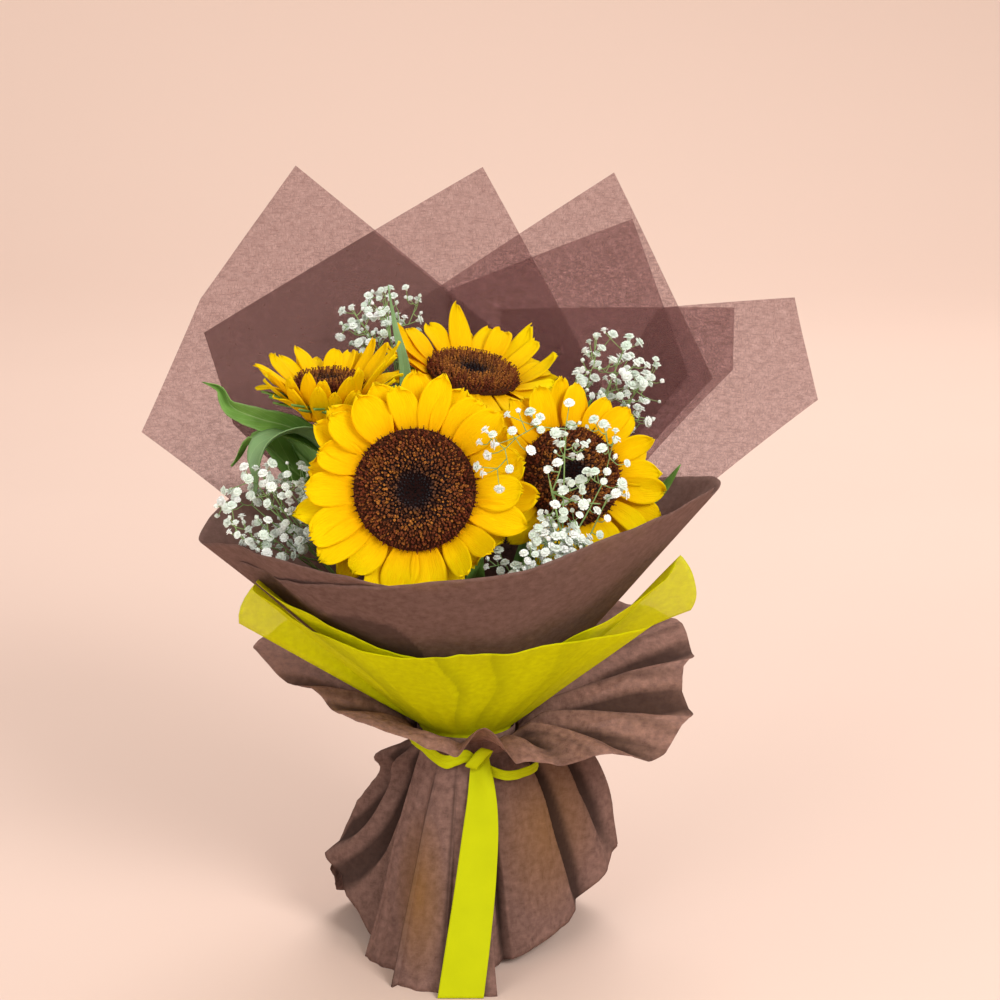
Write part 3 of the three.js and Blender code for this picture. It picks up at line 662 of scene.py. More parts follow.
def green(name, dark, light, vein):
    """A leaf's material, with its veins laid out by its UV map."""
    leaf = Nodes(name)
    uv = leaf.add("UVMap").outputs[0]
    across = leaf.math("ABSOLUTE", leaf.math("SUBTRACT", leaf.axis(uv, "X"), 0.5))
    slanted = leaf.math("SUBTRACT", leaf.axis(uv, "Y"), leaf.times(across, 0.55))
    waves = leaf.math("ABSOLUTE", leaf.math("SINE", leaf.times(slanted, 26.0)))
    side_veins = leaf.ramp(waves, (0.0, 1), (0.13, 0))
    midrib = leaf.ramp(across, (0.012, 1), (0.035, 0))
    net_of_veins = leaf.math("MAXIMUM", side_veins, midrib)
    mottle = leaf.speckle(leaf.where(), 130.0, 4.0)
    colour = leaf.mix(leaf.times(net_of_veins, 0.55), leaf.mix(mottle, dark, light), vein)
    normal = leaf.bump(leaf.math("SUBTRACT", mottle, net_of_veins), 0.35, 0.0006)
    return leaf.finish(leaf.thin(0.22, colour, Roughness=0.48, Normal=normal))


leaf_material = green("sunflower_leaf", (0.11, 0.24, 0.03), (0.23, 0.44, 0.08), (0.40, 0.56, 0.20))
pale_leaf_material = green("sunflower_leaf_back", (0.16, 0.29, 0.10), (0.27, 0.43, 0.18), (0.36, 0.52, 0.24))

stalks = Nodes("sunflower_stem")
streaks = stalks.speckle(stalks.where(), 260.0, 4.0, (1, 1, 0.12))
colour = stalks.mix(streaks, (0.075, 0.20, 0.035), (0.20, 0.36, 0.09))
stem_material = stalks.solid(colour, Roughness=0.55, Normal=stalks.bump(streaks, 0.4, 0.0006))

# the way of each stem above the tie, and its leaves: path, the side that their width goes to, width
STEMS = {
    "front": dict(
        turn=225, way=[(-12, -20, 180), (-21, -38, 235), (-26, -54, 266)],
        leaves=[
            dict(
                path=[(-14, -24, 192), (0, -58, 224), (6, -78, 238), (10, -85, 250)],
                side=(1, 0, 0.2), width=26,
            ),
        ],
    ),
    "right": dict(
        turn=315, way=[(18, -10, 180), (33, -16, 232), (43, -24, 258)],
        leaves=[
            dict(
                path=[(34, -17, 236), (70, -2, 252), (100, -4, 262), (117, -12, 281)],
                side=(0.2, 1, 0.7), width=26,
            ),
            dict(path=[(28, -14, 215), (60, -34, 226), (96, -58, 246)], side=(1, 1, 0), width=26),
        ],
    ),
    "top": dict(
        turn=45, way=[(5, 16, 190), (4, 26, 250), (4, 29, 285)],
        leaves=[dict(path=[(5, 16, 216), (40, 32, 264), (70, 40, 306)], side=(0.4, -1, 0), width=30)],
    ),
    "left": dict(
        turn=135, way=[(-26, 2, 185), (-54, -8, 240), (-70, -18, 285)],
        leaves=[
            dict(
                path=[(-50, -5, 232), (-34, -6, 290), (-33, -10, 333), (-37, -10, 355), (-41, -8, 379)],
                side=(1, 0.15, 0), width=9, cup=0.5, twist=25, pale=True,
            ),
            dict(
                path=[
                    (-66, -14, 282), (-90, -20, 302), (-110, -22, 309), (-125, -16, 314), (-131, -10, 323),
                    (-142, -8, 326),
                ],
                side=(0.5, 0.8, 0.9), width=14, cup=0.9, twist=-50, wave=0.12,
            ),
            dict(
                path=[(-62, -12, 262), (-76, -24, 292), (-90, -34, 304), (-106, -42, 298), (-112, -50, 274)],
                side=(0.9, -1, 0.35), width=27, cup=-0.35, wave=0.08, pale=True,
            ),
            dict(
                path=[(-58, -9, 250), (-90, -16, 276), (-112, -20, 296), (-126, -26, 284)],
                side=(0.7, 1, 0), width=26, cup=0.4,
            ),
            dict(path=[(-55, -7, 246), (-86, -6, 282), (-100, -8, 296)], side=(0.5, 1, -0.3), width=34),
            dict(
                path=[(-66, -14, 280), (-62, -34, 300), (-76, -44, 312)],
                side=(1, -0.4, 0.4), width=18, pale=True,
            ),
            dict(path=[(-41, -1, 214), (-62, 26, 252), (-84, 50, 290)], side=(1, 1, 0), width=30),
        ],
    ),
}

BRACT_ROWS = ((15, 18, -8.2, 1.0), (12, 15, -10.5, 0.8))  # count, length, height, share of the width
BRACT_HALF = 4.6
BRACT_OUTLINE = [(0, 0.8), (0.3, 1), (0.7, 0.5), (1, 0.03)]
BRACT_THICKNESS = 0.0006
for name, head in HEADS.items():
    plan = STEMS[name]
    matrix = head_matrix(head)
    turn = plan["turn"]
    foot = polar(STEM_FOOT, turn + 50, 0)
    way = [
        foot,
        foot + Vector((0, 0, 5)),
        polar(STEM_RING * 1.1, turn + 14, 98),
        polar(STEM_RING, turn, TIE - 8),
        polar(STEM_RING, turn, TIE + 8),
        *(Vector(p) for p in plan["way"]),
        matrix @ Vector((0, 0, -30)),
        matrix @ Vector((0, 0, -14)),
    ]
    stem = rods(f"stem_{name}", [[(p, STEM_RADIUS) for p in threaded(way, 60)]], stem_material, sides=14)

    # the cup and its bracts
    edge = head["disc"] - 2
    profile = [
        (0.001, -20), (STEM_RADIUS * 0.95, -20), (edge * 0.6, -15), (edge * 0.88, -11.5), (edge, -9),
        (edge, -6.2), (0.001, -6.2),
    ]
    cup = net()
    cup.from_mesh(turned_shape(profile, 40))
    for corner in cup.verts:
        corner.co = at(*(matrix @ corner.co))
    cup_piece = finished(f"receptacle_{name}", cup, stem_material)

    roll = dice(head["seed"] + 200)
    blades = net()
    for count, length, height, share in BRACT_ROWS:
        for i in range(count):
            bract_turn = radians(360 * (i + next(roll) * 0.4) / count)
            outward = Vector((cos(bract_turn), sin(bract_turn), 0))
            sideways = Vector((-sin(bract_turn), cos(bract_turn), 0))
            rise = tan(radians(head["cup"] * 0.9 - 10 - 8 * next(roll)))
            reach_out = length * lerp(0.8, 1.1, next(roll))

            def bract(u, v):
                half = BRACT_HALF * share * line(BRACT_OUTLINE, v)
                out = edge - 6 + (6 + reach_out) * v
                lift = height + rise * max(out - edge, 0) + 0.9 * (2 * u - 1) ** 2
                return at(*(matrix @ (outward * out + sideways * (2 * u - 1) * half + Vector((0, 0, lift)))))

            grid(blades, 4, 6, bract, next(roll))
    bracts = finished(f"bracts_{name}", blades, leaf_material)
    thicken(bracts, BRACT_THICKNESS)

    leaves = {True: net(), False: net()}
    for leaf in plan["leaves"]:
        pale = leaf.pop("pale", False)
        add_leaf(leaves[pale], **leaf)
    parts = [stem, cup_piece, bracts]
    for pale, bm in leaves.items():
        if not bm.faces:
            bm.free()
            continue
        suffix = "pale_leaf" if pale else "leaf"
        piece = finished(f"{suffix}_{name}", bm, pale_leaf_material if pale else leaf_material)
        thicken(piece, LEAF_THICKNESS)
        parts.append(piece)
    for piece in parts:
        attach(piece, "root")
    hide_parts(f"sunflower_{name}_stem")


# ---- gypsophila ----
# Five sprays of gypsophila: a thin green stalk, forked twigs finer than a millimetre, and at the
# end of each twig a small double white flower on a green calyx, or a bud.
SPRAYS = {
    "left": dict(
        turn=180, way=[(-34, -22, 180), (-66, -40, 222)],
        crown=(-100, -58, 268), spread=(32, 22, 28), florets=150, seed=5,
    ),
    "back": dict(
        turn=120, way=[(-16, 32, 200), (-38, 52, 285)],
        crown=(-36, 55, 345), spread=(36, 14, 22), florets=90, seed=6,
    ),
    "upper_right": dict(
        turn=20, way=[(32, 16, 200), (54, 24, 260)],
        crown=(80, 16, 318), spread=(30, 20, 32), florets=120, seed=7,
    ),
    "middle": dict(
        turn=300, way=[(17, -30, 176), (44, -66, 214), (53, -90, 246)],
        crown=(44, -95, 296), spread=(46, 11, 40), florets=95, seed=8,
    ),
    "lower_right": dict(
        turn=270, way=[(8, -36, 176), (22, -68, 212)],
        crown=(32, -97, 254), spread=(38, 13, 20), florets=140, seed=9,
    ),
}
SPRIG_RADIUS = 1.3
SPRIG_RING = 14.6
SPRIG_END = 84  # the height of a stalk's lower end
CLEAR = 1.6  # the least distance in mm from a twig to a petal or a disc
BRANCHES = 9
NEAREST_FLORET = 3.9  # the least distance in mm between two florets
FLORET_THICKNESS = 0.00015


def near_head(point, head):
    """True if a point of a spray would touch the head, whose petals lie in a dish round its disc."""
    local = head_matrix(head).inverted() @ point
    out = hypot(local.x, local.y)
    if out > head["disc"] + 1.1 * head["ray"] + CLEAR:
        return False
    free = max(out - head["disc"], 0)
    rise = tan(radians(head["cup"])) * free
    below = -20 - CLEAR if out < head["disc"] else -9 + 0.5 * rise - 0.12 * free - CLEAR
    return below < local.z < 6 + 1.35 * rise + CLEAR


def outside_wrap(point):
    """True if a point lies in or outside the sheets in front."""
    return (within_wrap(point, 3.0) - point).length > 0.01


# three whorls of petals: how many, how far each whorl is raised in degrees, and their length
flower = net()
for count, raised, length in ((6, 4, 0.0022), (5, 38, 0.0021), (3, 70, 0.0019)):
    for i in range(count):
        spin = Matrix.Rotation(2 * pi * (i + raised / 50) / count, 4, "Z")
        place = spin @ Matrix.Rotation(-radians(raised), 4, "Y")
        made = bmesh.ops.create_grid(flower, x_segments=1, y_segments=2, size=0.5)
        for corner in made["verts"]:
            along, across = corner.co.y + 0.5, corner.co.x
            width = (0.0007, 0.0019, 0.0016)[round(along * 2)]
            rise = (0.0, 0.0006, 0.0003)[round(along * 2)] + 0.0002 * (i % 2)
            corner.co = place @ Vector((along * length, across * width, rise)) + Vector((0, 0, 0.0004))
calyx = bmesh.ops.create_cone(flower, cap_ends=True, segments=5, radius1=0.0004, radius2=0.0009, depth=0.0014)
for corner in calyx["verts"]:
    corner.co.z -= 0.0003
flower_shape = bpy.data.meshes.new("gypsophila_flower")
flower.to_mesh(flower_shape)
flower.free()
bud_shape = small_shape(
    "gypsophila_bud", (5, 0.0004, 0.0011, -0.001, 0.0003), (5, 0.0011, 0.0003, 0.0003, 0.0013),
)

whites = Nodes("gypsophila_flower")
crumple = whites.speckle(whites.where(), 700.0)
# painted shade: some florets are greyed towards green by their shade value, and blotches of the crumple noise
# darken them to green-grey
white = whites.mix(whites.layer("tint"), (0.80, 0.88, 0.78), (1.0, 1.0, 0.98))
white = whites.mix(whites.ramp(crumple, (0.3, 0.4), (0.5, 0)), white, (0.50, 0.60, 0.44))
relief = whites.bump(crumple, 0.4, 0.0003)
white_material = whites.finish(whites.thin(0.3, white, glow_bent=False, Roughness=0.7, Normal=relief))

twigs = Nodes("gypsophila_twig")
streaks = twigs.speckle(twigs.where(), 300.0, 2.0)
twig_material = twigs.solid(twigs.mix(streaks, (0.11, 0.22, 0.05), (0.32, 0.46, 0.16)), Roughness=0.6)

for name, plan in SPRAYS.items():
    roll = dice(plan["seed"])
    turn = plan["turn"]
    way = [Vector(p) for p in plan["way"]]
    crown = Vector(plan["crown"])
    top = way[-1].lerp(crown, 0.95)
    foot = polar(SPRIG_RING + 4, turn + 10, SPRIG_END)
    tied = [polar(SPRIG_RING, turn, TIE + d) for d in (-10, 0, 10)]
    stalk = threaded([foot, *tied, *way, top], 40)
    lines = [[(p, SPRIG_RADIUS * lerp(1, 0.4, i / 40)) for i, p in enumerate(stalk)]]
    wide, deep, tall = plan["spread"]

    def free_place(reach_from):
        """A chance point of the crown, from reach_from of its radius outwards."""
        spin, height = 2 * pi * next(roll), 2 * next(roll) - 1
        share = (reach_from + (1 - reach_from) * next(roll)) ** (1 / 3)
        flat = sqrt(1 - height * height)
        return crown + Vector((flat * cos(spin) * wide, flat * sin(spin) * deep, height * tall)) * share

    def clear(points):
        """True if a twig through points touches neither a head nor the sheets in front."""
        return not any(outside_wrap(p) or near_head(p, head) for p in points for head in HEADS.values())

    forks = stalk[26:]
    branches = 0
    tries = 0
    while branches < BRANCHES and tries < 300:
        tries += 1
        start = stalk[27 + int(13 * next(roll))]
        end = crown.lerp(free_place(0.6), 0.72)
        points = threaded([start, start.lerp(end, 0.5) + Vector((0, 0, -2)), end], 8)
        if not clear(points[3:]):
            continue
        branches += 1
        lines.append([(p, lerp(0.5, 0.3, i / 8)) for i, p in enumerate(points)])
        forks += points[2:]
    blossom = net()
    ends = []
    tries = 0
    while len(ends) < plan["florets"] and tries < 4000:
        tries += 1
        end = free_place(0.08)
        sag, size, shade, kind = next(roll), lerp(0.85, 1.4, next(roll)), next(roll), next(roll)
        tilt = Vector((next(roll) - 0.5, next(roll) - 0.9, next(roll) * 0.8))
        if any((other - end).length < NEAREST_FLORET for other in ends):
            continue
        fork = min(forks, key=lambda p: (end - p).length + 0.3 * (p - stalk[26]).length)
        middle = fork.lerp(end, 0.5) + Vector((0, 0, -2.4 * sag))
        points = threaded([fork, middle, end], 4)
        if not clear(points[2:]):
            continue
        ends.append(end)
        forks += points[1:3]
        lines.append([(p, lerp(0.28, 0.2, i / 4)) for i, p in enumerate(points)])
        up = ((end - middle).normalized() + tilt).normalized()
        place = Matrix.Translation(at(*end)) @ up.to_track_quat("Z", "Y").to_matrix().to_4x4()
        shape = bud_shape if kind < 0.2 else flower_shape
        stamp(blossom, shape, place @ Matrix.Scale(size, 4), shade)
    stems = rods(f"gypsophila_twigs_{name}", lines, twig_material, sides=4)
    florets = finished(f"gypsophila_florets_{name}", blossom, white_material, smooth=False)
    thicken(florets, FLORET_THICKNESS)
    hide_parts(f"gypsophila_{name}")
    for piece in (stems, florets):
        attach(piece, "root")


# ---- twine ----
# Natural twine of two strands, wound nearly five times round all the stems at the height of the
# tie, under the sheets.
TURNS = 4.6
TWISTS = 46  # how often the two strands go round each other
WOUND_RADIUS = 18.65
WOUND_HEIGHT = 9.2
STRAND_RADIUS = 0.75
STRAND_OFFSET = 0.55
TWINE_STEPS = 330
coils = []
for strand in (0, 1):
    points = []
    for i in range(TWINE_STEPS + 1):
        share = i / TWINE_STEPS
        twist = radians(360 * TWISTS * share + 180 * strand)
        height = TIE - WOUND_HEIGHT / 2 + WOUND_HEIGHT * share + STRAND_OFFSET * sin(twist)
        place = polar(WOUND_RADIUS + STRAND_OFFSET * cos(twist), 360 * TURNS * share, height)
        points.append((place, STRAND_RADIUS))
    coils.append(points)
fibres = Nodes("twine_fibre")
strands = fibres.speckle(fibres.where(), 1500.0, 4.0)
colour = fibres.mix(strands, (0.26, 0.17, 0.08), (0.55, 0.41, 0.22))
twine_material = fibres.solid(colour, Roughness=0.9, Normal=fibres.bump(strands, 0.6, 0.0004))
twine = rods("twine_binding", coils, twine_material, sides=6)
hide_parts("twine")
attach(twine, "root")


# ---- brown sheets behind the flowers ----
# Six squares of thin brown non-woven fabric, each with its corner up, stacked behind the flowers
# and gathered under the tie. One layer lets the light through, so the overlaps look darker.
LOW_EDGE = 114
BACK_WIDE = 1.03  # how far their cone opens sideways for each mm of height, and backwards
BACK_DEEP = 0.33
SHEET_GATHER = 0.5  # the share of its angle that a sheet still takes up at its lower edge
UNDER_TIE = 0.08  # the share of a back sheet's rows that lie below FLARE, and of a front sheet's
FRONT_UNDER_TIE = 0.1


def back_radii(layer, height):
    """The half width and the depth of the cone that a sheet behind the flowers lies on."""
    base = FIRST_SHEET + layer * layer_step(height)
    opening = max(height - FLARE, 0)
    return base + BACK_WIDE * opening, base + BACK_DEEP * opening


def gathers(turn, height):
    """The small folds that all the sheets share where they leave the tie."""
    opening = max(height - FLARE, 0)
    folds = 0.55 * sin(radians(23 * turn)) + 0.35 * sin(radians(41 * turn + 60))
    return folds * exp(-opening / 45) * min(opening / 10, 1)


def sheet_height(v, under, top):
    """The height of a sheet at v; the share under of its rows lies round the tie."""
    return lerp(LOW_EDGE, FLARE, v / under) if v < under else lerp(FLARE, top, (v - under) / (1 - under))


def back_point(layer, corners, u, v):
    """The point of a back sheet: u goes along its upper corners and v up from its lower edge."""
    legs = len(corners) - 1
    leg = min(int(u * legs), legs - 1)
    x, top = (lerp(a, b, u * legs - leg) for a, b in zip(corners[leg], corners[leg + 1]))
    top_turn = degrees(acos(max(min(x / back_radii(layer, top)[0], 1), -1)))
    height = sheet_height(v, UNDER_TIE, top)
    share = (height - LOW_EDGE) / (top - LOW_EDGE)
    turn = 90 + (top_turn - 90) * lerp(SHEET_GATHER, 1, share)
    wide, deep = back_radii(layer, height)
    opening = max(height - FLARE, 0) / 300
    wave = opening * 3 * sin(radians(6 * turn + 0.8 * height))
    crinkle = gathers(turn, height) + 0.5 * noise.noise(Vector((turn / 14, height / 40, layer * 0.15)))
    return at((wide + crinkle) * cos(radians(turn)), (deep + wave + crinkle) * sin(radians(turn)), height)


# a doubled sheet is folded double left of a line, here its slope and its distance in metres
FOLD_SLOPE = 129 / 103
FOLD_AT = 0.030 + 0.322 * FOLD_SLOPE


def cloth(name, colour, light, cover, doubled=False, tinted=None, glowing=0.3, gathered=False, mottle=1.0):
    """Thin non-woven fabric: fine random fibres, partly see-through. cover is how much a face hides.
    The tint of a net darkens it and closes it: painted shade in folds, along creases and on a shaded
    side, and fabric lying doubled in a lap. Gathered fabric lies so thick near the tie that no light
    comes through it."""
    fabric = Nodes(name)
    where = fabric.where()
    shade_and_laps = fabric.layer("tint")
    cloud = fabric.speckle(where, 260.0, 5.0)
    fibre = fabric.speckle(where, 1300.0, 3.0, (1, 1, 0.22))
    crossed = fabric.speckle(where, 1200.0, 3.0, (0.22, 0.22, 1))
    fibres = fabric.ramp(fabric.math("MAXIMUM", fibre, crossed), (0.4, 0), (0.8, 1))
    bright = tuple(min(1.4 * part, 0.95) for part in light)
    deep = tuple(0.22 * part for part in colour)
    shade = fabric.mix(fabric.ramp(cloud, (0.25, 0), (0.75, 1)), colour, light)
    shade = fabric.mix(fabric.times(fibres, 0.35 * mottle), shade, bright)
    if tinted:
        shade = tinted(fabric, where, shade)
    # painted shade: the tint darkens the colour towards deep
    shade = fabric.mix(fabric.times(shade_and_laps, 0.85), shade, deep)
    normal = fabric.bump(fabric.plus(fibres, cloud), 0.2, 0.0003)
    thread = fabric.thin(glowing, shade, Roughness=0.9, Specular_IOR_Level=0.1, Normal=normal)
    closed = fabric.plus(fabric.times(fibres, 0.16 * mottle), cover - 0.14 * mottle)
    more = [fabric.times(cloud, 0.16 * mottle), fabric.times(shade_and_laps, 0.3)]
    if doubled:
        slope = fabric.joined("VectorMath", (where, (1, 0, FOLD_SLOPE)), output=1, operation="DOT_PRODUCT")
        left = fabric.math("LESS_THAN", slope, AXIS.x + FOLD_AT)
        more.append(fabric.times(left, 0.27))
    if gathered:
        height = fabric.axis(where, "Z")
        more.append(fabric.ramp(fabric.times(height, 2.5), (0.45, 1), (0.66, 0)))
    for part in more:
        closed = fabric.plus(closed, part)
    clear = fabric.add("BsdfTransparent", Color=(1, 0.93, 0.95)).outputs[0]
    return fabric.finish(fabric.blended(fabric.math("MINIMUM", closed, 1), clear, thread))


def thin_piece(name, columns, rows, place, material, thickness, tint=0.0, closed=False):
    """A piece of one net, laid out as grid says; a closed one is joined where it meets itself."""
    bm = net()
    grid(bm, columns, rows, place, tint)
    if closed:
        bmesh.ops.remove_doubles(bm, verts=bm.verts, dist=1e-6)
    piece = finished(name, bm, material)
    thicken(piece, thickness)
    return piece


SHEET_THICKNESS = 0.0002
LEG_COLUMNS = 36
BACK_ROWS = 70
back_cloth, doubled_cloth = (
    cloth(name, (0.095, 0.045, 0.040), (0.16, 0.081, 0.069), 0.34, doubled=doubled, gathered=True, mottle=1.7)
    for name, doubled in (("brown_nonwoven", False), ("brown_nonwoven_doubled", True))
)
# the upper corners of each as (sideways, height) in mm, its flat size, its area and its fabric
BACK_SHEETS = [
    ("wrap_back_1", [(126, 314), (95, 397), (-10, 357)], (0.20, 0.26), 0.0212, back_cloth),
    ("wrap_back_2", [(151, 318), (152, 351), (20, 346)], (0.19, 0.24), 0.0178, back_cloth),
    ("wrap_back_3", [(80, 300), (9, 424), (-149, 337), (-132, 288)], (0.27, 0.33), 0.0375, doubled_cloth),
    ("wrap_back_4", [(140, 312), (85, 421), (-60, 330)], (0.25, 0.32), 0.0316, back_cloth),
    ("wrap_back_5", [(196, 307), (186, 357), (110, 348)], (0.18, 0.26), 0.0176, back_cloth),
    ("wrap_back_6", [(30, 322), (-99, 425), (-152, 354), (-181, 289)], (0.27, 0.33), 0.0385, back_cloth),
]
for layer, (name, corners, flat, area, material) in enumerate(BACK_SHEETS):
    piece = thin_piece(
        f"sheet_{name}", LEG_COLUMNS * (len(corners) - 1), BACK_ROWS,
        lambda u, v: back_point(layer, corners, u, v), material, SHEET_THICKNESS,
    )
    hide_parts(name)
    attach(piece, "root")


# ---- brown and yellow sheets in front ----
# Two brown sheets wrapped round the front of the flowers with their upper edges turned out, and
# outside them two yellow ones, folded so that their corners stand off to the sides.
front_brown = cloth("brown_nonwoven_front", (0.175, 0.098, 0.079), (0.265, 0.156, 0.128), 0.84, mottle=0.6)
yellow_cloth = cloth("yellow_nonwoven", (0.71, 0.72, 0.0), (0.84, 0.87, 0.0), 0.74, mottle=0.3)
FRONT_COLUMNS = 220
FRONT_ROWS = 48
# By angle from the left to the right of the viewer: slope is how far the sheet spreads for each mm
# of height and rim the height of its upper edge. Each crease is (angle, depth, half width).
FRONT_SHEETS = [
    dict(
        name="wrap_front_inner", layer=2, flat=(0.29, 0.17), area=0.033, cloth=front_brown, slot="brown_wrap",
        slope=BROWN_SLOPE,
        rim=[
            (150, 250), (160, 256), (169, 254), (178, 240), (184, 237), (202, 248), (224, 253), (242, 249),
            (256, 242), (270, 243), (290, 253),
        ],
        creases=[(172, 1.6, 9), (187, -1.5, 7), (214, 1.2, 14), (262, -0.8, 16)],
    ),
    dict(
        name="wrap_front_outer", layer=3, flat=(0.33, 0.19), area=0.043, cloth=front_brown, slot="brown_wrap",
        slope=BROWN_SLOPE,
        rim=[
            (198, 228), (202, 237), (208, 234), (214, 234), (226, 238), (243, 243), (254, 245), (267, 249),
            (284, 253), (291, 257), (303, 265), (326, 274), (341, 277), (346, 270), (360, 270), (375, 263),
            (390, 254),
        ],
        creases=[
            (206, -1.4, 8), (222, 1.3, 12), (251, -0.9, 18), (296, 1.0, 14), (322, -1.2, 12), (338, 1.4, 9),
        ],
    ),
    dict(
        name="yellow_inner", layer=4, flat=(0.24, 0.13), area=0.0225, cloth=yellow_cloth, slot="yellow_wrap",
        slope=[
            (184, 1.15), (190, 1.0), (195, 0.94), (209, 1), (242, 0.975), (270, 0.915), (300, 0.86),
            (318, 0.93), (330, 0.95), (341, 0.89), (347, 1.14), (353, 1.42),
        ],
        rim=[
            (184, 198), (190, 212), (195, 222), (209, 229), (242, 199), (270, 188), (300, 191), (318, 211),
            (330, 231), (341, 238), (347, 219), (353, 199),
        ],
        creases=[(216, 1.0, 8), (236, -0.9, 9), (322, 1.3, 8), (336, -1.2, 6)],
    ),
    dict(
        name="yellow_outer", layer=5, flat=(0.29, 0.13), area=0.02, cloth=yellow_cloth, slot="yellow_wrap",
        slope=[
            (193, 1.49), (196, 1.0), (203, 1.03), (211, 1.03), (222, 1.06), (240, 1.03), (255, 1),
            (270, 0.965), (287, 0.94), (303, 0.96), (311, 1), (325, 1.06), (337, 1.18),
        ],
        rim=[
            (193, 196), (196, 220), (203, 221), (211, 213), (222, 205), (229, 204), (236, 199), (250, 196),
            (268, 200), (287, 199), (299, 204), (311, 203), (325, 199), (337, 200),
        ],
        creases=[
            (204, 1.6, 6), (226, -1.7, 8), (239, 1.4, 9), (266, 2.6, 5), (283, -2.0, 7), (306, 1.8, 9),
            (322, -1.4, 7),
        ],
    ),
]


def straight(rows, key):
    """The value at key in rows of (key, value), straight between rows."""
    i = 0
    while i < len(rows) - 2 and key > rows[i + 1][0]:
        i += 1
    (k0, v0), (k1, v1) = rows[i], rows[i + 1]
    return lerp(v0, v1, clamp((key - k0) / (k1 - k0)))


def ridge(turn, centre, half):
    """A fold with straight flanks: 1 at centre, 0 half degrees away."""
    return max(1 - abs((turn - centre + 180) % 360 - 180) / half, 0)


def front_point(sheet, u, v):
    """The point of a front sheet: u goes round it from the left and v up from its lower edge."""
    name, layer, rim = sheet["name"], sheet["layer"], sheet["rim"]
    between = straight if name.startswith("yellow") else line
    turn = lerp(rim[0][0], rim[-1][0], u)
    top = between(rim, turn)
    height = sheet_height(v, FRONT_UNDER_TIE, top)
    opening = max(height - FLARE, 0)
    share = opening / (top - FLARE)
    steep = between(sheet["slope"], turn)
    if name == "yellow_inner":
        # its corner on the right only turns out near the edge
        steep = lerp(min(steep, 0.95), steep, share * share)
    radius = FIRST_SHEET + layer * layer_step(height) + steep * opening
    radius += gathers(turn, height)
    drifted = turn + 3 * sin(height / 23)
    crease = sum(depth * ridge(drifted, centre, half) for centre, depth, half in sheet["creases"])
    radius += crease * min(share * 1.6, 1)
    radius += 0.7 * share * noise.noise(Vector((turn / 9, height / 26, layer * 0.2)))
    height += 0.9 * share**3 * noise.noise(Vector((turn / 6, 3.1 * layer, 0)))
    return at(*polar(radius, turn, height))


# painted shade where the outer brown sheet turns under in a fold above the yellow: its upper edge, by angle
DARK_FOLD = [(214, 198), (221, 211), (229, 218), (239, 220), (248, 216), (251.5, 208), (254, 198), (256, 150)]
# the laps of the outer yellow sheet, darker beside each edge as doubled fabric and painted shade: (angle,
# width in degrees, darkness)
YELLOW_LAPS = ((264, 7, 0.42), (282, 8, 0.36), (222, 15, 0.36), (305, 12, 0.2))


def front_shade(sheet, u, v):
    """How dark a front sheet is at u and v: the yellow one beside its laps, partly doubled fabric and partly
    painted shade, and the brown one with painted shade in its fold.
    """
    name, rim = sheet["name"], sheet["rim"]
    turn = lerp(rim[0][0], rim[-1][0], u)
    if name == "wrap_front_outer":
        height = sheet_height(v, FRONT_UNDER_TIE, straight(rim, turn))
        inside = DARK_FOLD[0][0] < turn < DARK_FOLD[-1][0]
        return 0.75 * clamp((straight(DARK_FOLD, turn) - height) / 2) * inside
    lap = 0.0
    if name == "yellow_outer":
        for edge, width, dark in YELLOW_LAPS:
            past = turn + 3 * sin(8 * v) - edge
            lap += dark * (1 - past / width) if 0 < past < width else 0
    return lap * min(v * 3, 1)


for sheet in FRONT_SHEETS:
    name = sheet["name"]
    piece = thin_piece(
        f"sheet_{name}", FRONT_COLUMNS, FRONT_ROWS, lambda u, v: front_point(sheet, u, v),
        sheet["cloth"], SHEET_THICKNESS, tint=lambda u, v: front_shade(sheet, u, v),
    )
    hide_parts(name)
    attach(piece, "root")


# ---- collar ----
# A brown sheet gathered round the waist and spread out above the ribbon in pleats that run out
# from the tie, so its edge rises and falls all the way round.
COLLAR_AT_TIE = 29.65
COLLAR_BOTTOM = 119
COLLAR_FLARE = 127
COLLAR_UNDER_TIE = 0.1  # the share of its rows that lie below COLLAR_FLARE
COLLAR_PLEATS = 17
COLLAR_REACH = [
    (0, 121), (3, 122), (9, 131), (22, 130), (35, 118), (60, 98), (90, 86), (120, 94), (150, 108),
    (168, 116), (176, 120), (187, 98), (196, 82), (204, 76), (230, 63), (252, 53), (266, 52), (277, 54),
    (290, 60), (300, 64), (313, 76), (321, 94), (338, 118), (352, 128), (357, 121), (360, 121),
]
COLLAR_HEIGHT = [
    (0, 155), (3, 157), (9, 163), (22, 175), (40, 178), (60, 172), (90, 165), (120, 168), (150, 174),
    (168, 174), (176, 167), (187, 158), (196, 150), (204, 145), (230, 140), (252, 131), (265, 127),
    (273, 138), (281, 144), (288, 139), (296, 125), (302, 125), (313, 126), (321, 129), (338, 127),
    (352, 143), (357, 152), (360, 155),
]


def wave(turn):
    """A wave with nearly straight flanks and soft folds, between -1 and 1."""
    return asin(0.96 * sin(radians(turn))) / asin(0.96)


# a fold is (angle, depth, half width, drift), where drift is how far it turns on its way out
def chance_folds(seed, first, last, nearest, furthest, depth):
    """Folds at uneven angles, in turns outwards and inwards."""
    roll = dice(seed)
    turn, side, folds = first, 1, []
    while turn < last:
        deep = side * depth * lerp(0.5, 1.3, next(roll))
        half = lerp(5, 10, next(roll))
        folds.append((turn, deep, half, lerp(-9, 9, next(roll))))
        turn += lerp(nearest, furthest, next(roll))
        side = -side
    return folds


def fold_height(folds, turn, out):
    """The sum of folds at turn, where out is how far along them, from 0 to 1."""
    return sum(depth * ridge(turn + drift * out, centre, half) for centre, depth, half, drift in folds)


